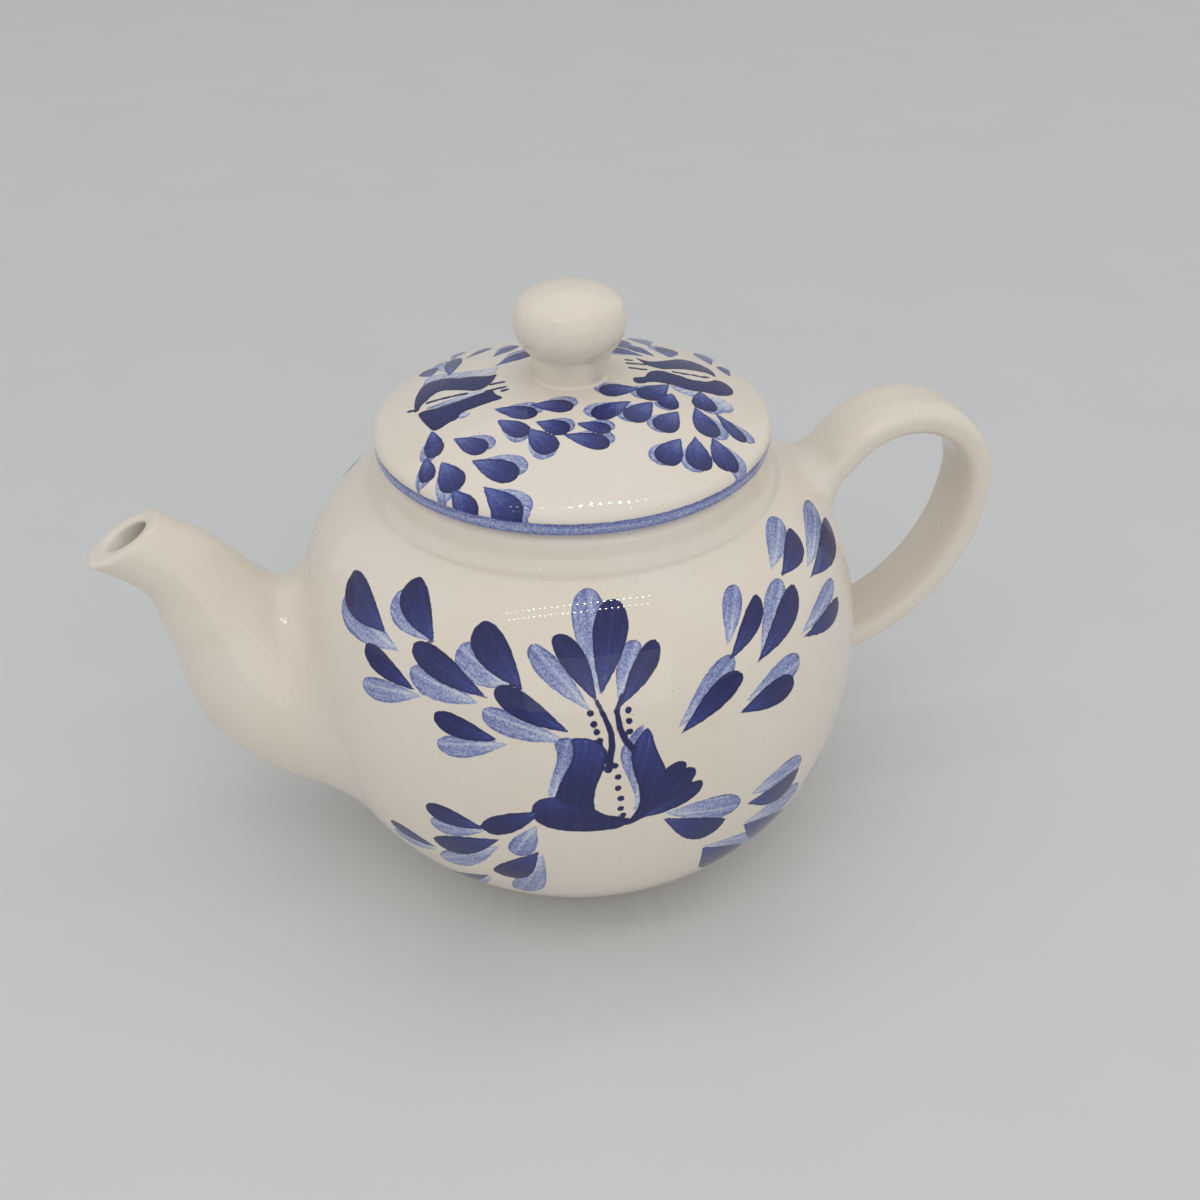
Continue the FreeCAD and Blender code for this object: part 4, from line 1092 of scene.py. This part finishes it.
class TEAPOT_OT_handle(bpy.types.Operator):
    """Sweeps the pulled strap of the handle and smooths both its ends onto the belly"""

    bl_idname = "teapot.handle"
    bl_label = "Handle"

    def execute(self, context):
        settings = context.scene.teapot
        handle = millimetres(settings.handle)
        outside = belly_profile(millimetres(settings.pot), 0, 1.0)
        slope = math.radians(HANDLE_ARM_SLOPE)
        turn_centre = flat(handle.turn_reach, handle.turn_height)
        outermost = turn_centre + flat(handle.turn_radius, 0)
        back_centre = outermost - flat(handle.back_radius, 0)
        drop = math.sqrt(handle.back_radius ** 2 - (handle.tail_reach - back_centre[0]) ** 2)
        tail = flat(handle.tail_reach, back_centre[1] - drop)
        arm_end = turn_centre + flat(-math.sin(slope), math.cos(slope)) * handle.turn_radius
        arm_start = arm_end - flat(math.cos(slope), math.sin(slope)) * handle.arm
        step = 0.8
        path = np.concatenate([
            arm_start[None],
            run(arm_start, arm_end, step),
            sweep(turn_centre, arm_end, outermost, step),
            sweep(back_centre, outermost, tail, step),
        ])
        heading = np.gradient(path, axis=0)
        heading /= np.linalg.norm(heading, axis=1)[:, None]
        inward = np.stack([heading[:, 1], -heading[:, 0]], axis=1)
        section = strap_section(handle, count=96)
        grid = np.zeros((len(path), len(section), 3))
        grid[:, :, 0] = path[:, :1] + inward[:, :1] * section[:, 0]
        grid[:, :, 1] = section[:, 1]
        grid[:, :, 2] = path[:, 1:] + inward[:, 1:] * section[:, 0]
        half = len(path) // 2
        upper = rooted(grid[:half + 1], outside, handle.root_blend, tail_rings=70)
        lower = rooted(grid[half:][::-1], outside, handle.root_blend, tail_rings=70)
        piece = grid_object("handle_strap", np.concatenate([upper, lower[::-1][1:]]))
        glazed(piece, "pot", "handle")
        return {"FINISHED"}


def dome_centre(lid):
    """Height of the centre of the lid's dome, far below the lid."""
    return SEAT_HEIGHT + lid.rim_height - math.sqrt(lid.crown_radius ** 2 - LID_RADIUS ** 2)


class TEAPOT_OT_lid(bpy.types.Operator):
    """Turns the lid's dome with its locating ring, and paints its flowers and its rim"""

    bl_idname = "teapot.lid"
    bl_label = "Lid"

    def execute(self, context):
        lid = millimetres(context.scene.teapot.lid)
        segments = 640
        fine = 0.5
        coarse = 3.0
        centre = flat(0, dome_centre(lid))
        edge = LID_RADIUS - lid.edge_round
        bend_centre = centre + flat(edge, math.sqrt((lid.crown_radius - lid.edge_round) ** 2 - edge ** 2))
        dome_end = centre + unit(bend_centre - centre) * lid.crown_radius
        side_top = flat(LID_RADIUS, bend_centre[1])
        foot = flat(LID_RADIUS - lid.foot_round, SEAT_HEIGHT)
        side_end = flat(LID_RADIUS, SEAT_HEIGHT + lid.foot_round)
        crown = centre + flat(AXIS_GAP, lid.crown_radius)
        flange_inside = FLANGE_RADIUS - lid.flange_wall
        turn = lid.flange_round
        hollow = lid.crown_radius - lid.wall
        hollow_end = centre + flat(flange_inside, math.sqrt(hollow ** 2 - flange_inside ** 2))
        outer_low = flat(FLANGE_RADIUS, FLANGE_BOTTOM + turn)
        outer_turn = flat(FLANGE_RADIUS - turn, FLANGE_BOTTOM)
        inner_turn = flat(flange_inside + turn, FLANGE_BOTTOM)
        inner_low = flat(flange_inside, FLANGE_BOTTOM + turn)
        top = np.concatenate([
            crown[None],
            sweep(centre, crown, dome_end, fine),
            sweep(bend_centre, dome_end, side_top, fine),
            run(side_top, side_end, fine),
            sweep(flat(foot[0], side_end[1]), side_end, foot, lid.foot_round / 4),
        ])
        profile = np.concatenate([
            top,
            run(foot, flat(FLANGE_RADIUS, SEAT_HEIGHT), coarse),
            run(flat(FLANGE_RADIUS, SEAT_HEIGHT), outer_low, coarse),
            sweep(flat(outer_turn[0], outer_low[1]), outer_low, outer_turn, turn / 4),
            inner_turn[None],
            sweep(flat(inner_turn[0], inner_low[1]), inner_turn, inner_low, turn / 4),
            run(inner_low, hollow_end, coarse),
            sweep(centre, hollow_end, centre + flat(AXIS_GAP, hollow), coarse),
        ])[::-1]
        grid = turned(profile, segments)
        piece = grid_object("lid_cap", grid, ("first", "last"))
        first = len(profile) - len(top)
        painted = grid[first:].reshape(-1, 3)
        reach = running_length(top[::-1])
        canvas = paint_lid(painted[:, 0], painted[:, 1], np.repeat(reach, segments))
        write_layers(piece, canvas, first * segments, len(painted))
        glazed(piece, "lid", "lid_dome", "lid_flange")
        return {"FINISHED"}


class TEAPOT_OT_knob(bpy.types.Operator):
    """Turns the mushroom knob and smooths its foot onto the lid"""

    bl_idname = "teapot.knob"
    bl_label = "Knob"

    def execute(self, context):
        settings = context.scene.teapot
        knob = millimetres(settings.knob)
        lid = millimetres(settings.lid)
        segments = 192
        soft_rings = 12
        fine = 0.4
        foot = flat(knob.foot_radius, KNOB_SEAT)
        waist = flat(knob.waist_radius, KNOB_SEAT + knob.waist_rise)
        widest = flat(KNOB_RADIUS, KNOB_SEAT + knob.middle_rise)
        apex = flat(AXIS_GAP, KNOB_TOP)
        side_centre = tangent_centre(widest, flat(-1, 0), waist)
        side_radius = widest[0] - side_centre[0]
        crown_centre = flat(0, KNOB_TOP - knob.crown_radius)
        inner_side = side_radius - knob.crown_round
        inner_crown = knob.crown_radius - knob.crown_round
        bend_centre = meeting_point(side_centre, inner_side, crown_centre, inner_crown)
        side_end = side_centre + unit(bend_centre - side_centre) * side_radius
        crown_start = crown_centre + unit(bend_centre - crown_centre) * knob.crown_radius
        spread = knob.foot_radius + knob.foot_blend
        sunk = 0.1
        skirt = flat(spread, dome_centre(lid) + math.sqrt(lid.crown_radius ** 2 - spread ** 2) - sunk)
        neck = foot + unit(waist - foot) * knob.foot_blend
        profile = np.concatenate([
            bend(skirt, (skirt + foot * 2) / 3, (neck + foot * 2) / 3, neck, soft_rings),
            run(neck, waist, fine),
            sweep(side_centre, waist, side_end, fine),
            sweep(bend_centre, side_end, crown_start, fine),
            sweep(crown_centre, crown_start, apex, fine),
        ])
        piece = grid_object("lid_grip", turned(profile, segments), ("last",))
        glazed(piece, "lid", "lid_knob")
        return {"FINISHED"}


class TEAPOT_OT_stage(bpy.types.Operator):
    """Lays the paper, hangs the lamps and sets the camera where the photographer stood"""

    bl_idname = "teapot.stage"
    bl_label = "Stage"

    def execute(self, context):
        scene = context.scene
        lay_paper()
        hang_lamps()
        set_camera(scene)
        scene.view_settings.view_transform = "Standard"
        return {"FINISHED"}


def lay_paper():
    """A sheet that lies under the teapot and curves up far behind it."""
    width = 5000.0
    front = -2500.0
    back = 1800.0
    rise = 900.0
    top = 2500.0
    step = 60.0
    profile = np.concatenate([
        flat(front, 0)[None],
        flat(back, 0)[None],
        sweep(flat(back, rise), flat(back, 0), flat(back + rise, rise), step),
        flat(back + rise, top)[None],
    ])
    vertices = []
    for across in (-width / 2, width / 2):
        for depth, height in profile:
            vertices.append(Vector((across, depth, height)) * MM)
    count = len(profile)
    faces = [(index, index + count, index + count + 1, index + 1) for index in range(count - 1)]
    mesh = bpy.data.meshes.new("paper")
    mesh.from_pydata(vertices, [], faces)
    mesh.shade_smooth()
    paper = bpy.data.objects.new("paper", mesh)
    paper.data.materials.append(material_for("matt_grey_paper", make_paper))
    bpy.context.scene.collection.objects.link(paper)


def hang_lamp(name, place, target, size, power):
    """A rectangular lamp that points at a target; the sizes are in millimetres and the power in watts."""
    light = bpy.data.lights.new(name, "AREA")
    light.shape = "RECTANGLE"
    light.size = size[0] * MM
    light.size_y = size[1] * MM
    light.energy = power
    lamp = bpy.data.objects.new(name, light)
    lamp.location = Vector(place) * MM
    lamp.rotation_euler = (Vector(target) - Vector(place)).to_track_quat("-Z", "Y").to_euler()
    bpy.context.scene.collection.objects.link(lamp)


def hang_strip(name, centre, span):
    """A strip of small diodes above the pot that shine straight down."""
    pitch = 14
    height = 420
    diode = (3, 3)
    power = 0.003
    middle, depth = centre
    for across in np.arange(middle - span / 2, middle + span / 2, pitch):
        hang_lamp(name, (across, depth, height), (across, depth, 0), diode, power)


def hang_lamps():
    """Three strips of diodes in the roof of a light tent, its soft top and front, and its own pale glow."""
    middle = (0, 0, 60)
    hang_strip("strip_near", (-40, -215), 350)
    hang_strip("strip_far", (-40, -180), 350)
    hang_strip("strip_top", (40, 15), 280)
    hang_lamp("tent_top", (-60, -40, 1500), middle, (1400, 1400), 0.3)
    hang_lamp("tent_front", (-100, -1500, 500), middle, (1600, 1000), 2.0)
    world = bpy.data.worlds.new("tent")
    world.use_nodes = True
    sky = world.node_tree.nodes["Background"]
    sky.inputs["Color"].default_value = opaque(linear("#f4f5f6"))
    sky.inputs["Strength"].default_value = 0.85
    bpy.context.scene.world = world


def set_camera(scene):
    """The camera stands in front of the pot, a little to the spout's side, and looks down at it."""
    stand = Vector((-52.4, -273.1, 257.0)) * MM
    photo_width = 1200
    pixels_aside = 2
    tilt = math.radians(55.1)
    turn = math.radians(-12.0)
    aim = Euler((tilt, 0, turn)).to_matrix().to_4x4()
    roll = Matrix.Rotation(math.radians(-0.8), 4, "Z")
    data = bpy.data.cameras.new("camera")
    data.sensor_width = 36.0
    data.lens = 39.0
    data.shift_x = pixels_aside / photo_width
    camera = bpy.data.objects.new("camera", data)
    camera.matrix_world = Matrix.Translation(stand) @ aim @ roll
    scene.collection.objects.link(camera)
    scene.camera = camera


OPERATORS = (
    TEAPOT_OT_pot,
    TEAPOT_OT_foot,
    TEAPOT_OT_spout,
    TEAPOT_OT_handle,
    TEAPOT_OT_lid,
    TEAPOT_OT_knob,
    TEAPOT_OT_stage,
)


class TEAPOT_PT_panel(bpy.types.Panel):
    """Lists the steps that dress the teapot"""

    bl_idname = "TEAPOT_PT_panel"
    bl_label = "Teapot"
    bl_space_type = "VIEW_3D"
    bl_region_type = "UI"
    bl_category = "Teapot"

    def draw(self, context):
        for operator in OPERATORS:
            self.layout.operator(operator.bl_idname)
        for name in TeapotSettings.__annotations__:
            group = getattr(context.scene.teapot, name)
            box = self.layout.box()
            box.label(text=name)
            for key in group.__annotations__:
                box.prop(group, key)


CLASSES = (
    PotSettings,
    SpoutSettings,
    HandleSettings,
    LidSettings,
    KnobSettings,
    FinishSettings,
    TeapotSettings,
    *OPERATORS,
    TEAPOT_PT_panel,
)


def register():
    for item in CLASSES:
        bpy.utils.register_class(item)
    bpy.types.Scene.teapot = bpy.props.PointerProperty(type=TeapotSettings)


def unregister():
    del bpy.types.Scene.teapot
    for item in reversed(CLASSES):
        bpy.utils.unregister_class(item)


def main():
    register()
    bpy.ops.teapot.pot()
    bpy.ops.teapot.foot()
    bpy.ops.teapot.spout()
    bpy.ops.teapot.handle()
    bpy.ops.teapot.lid()
    bpy.ops.teapot.knob()
    bpy.ops.teapot.stage()


if __name__ == "__main__":
    main()
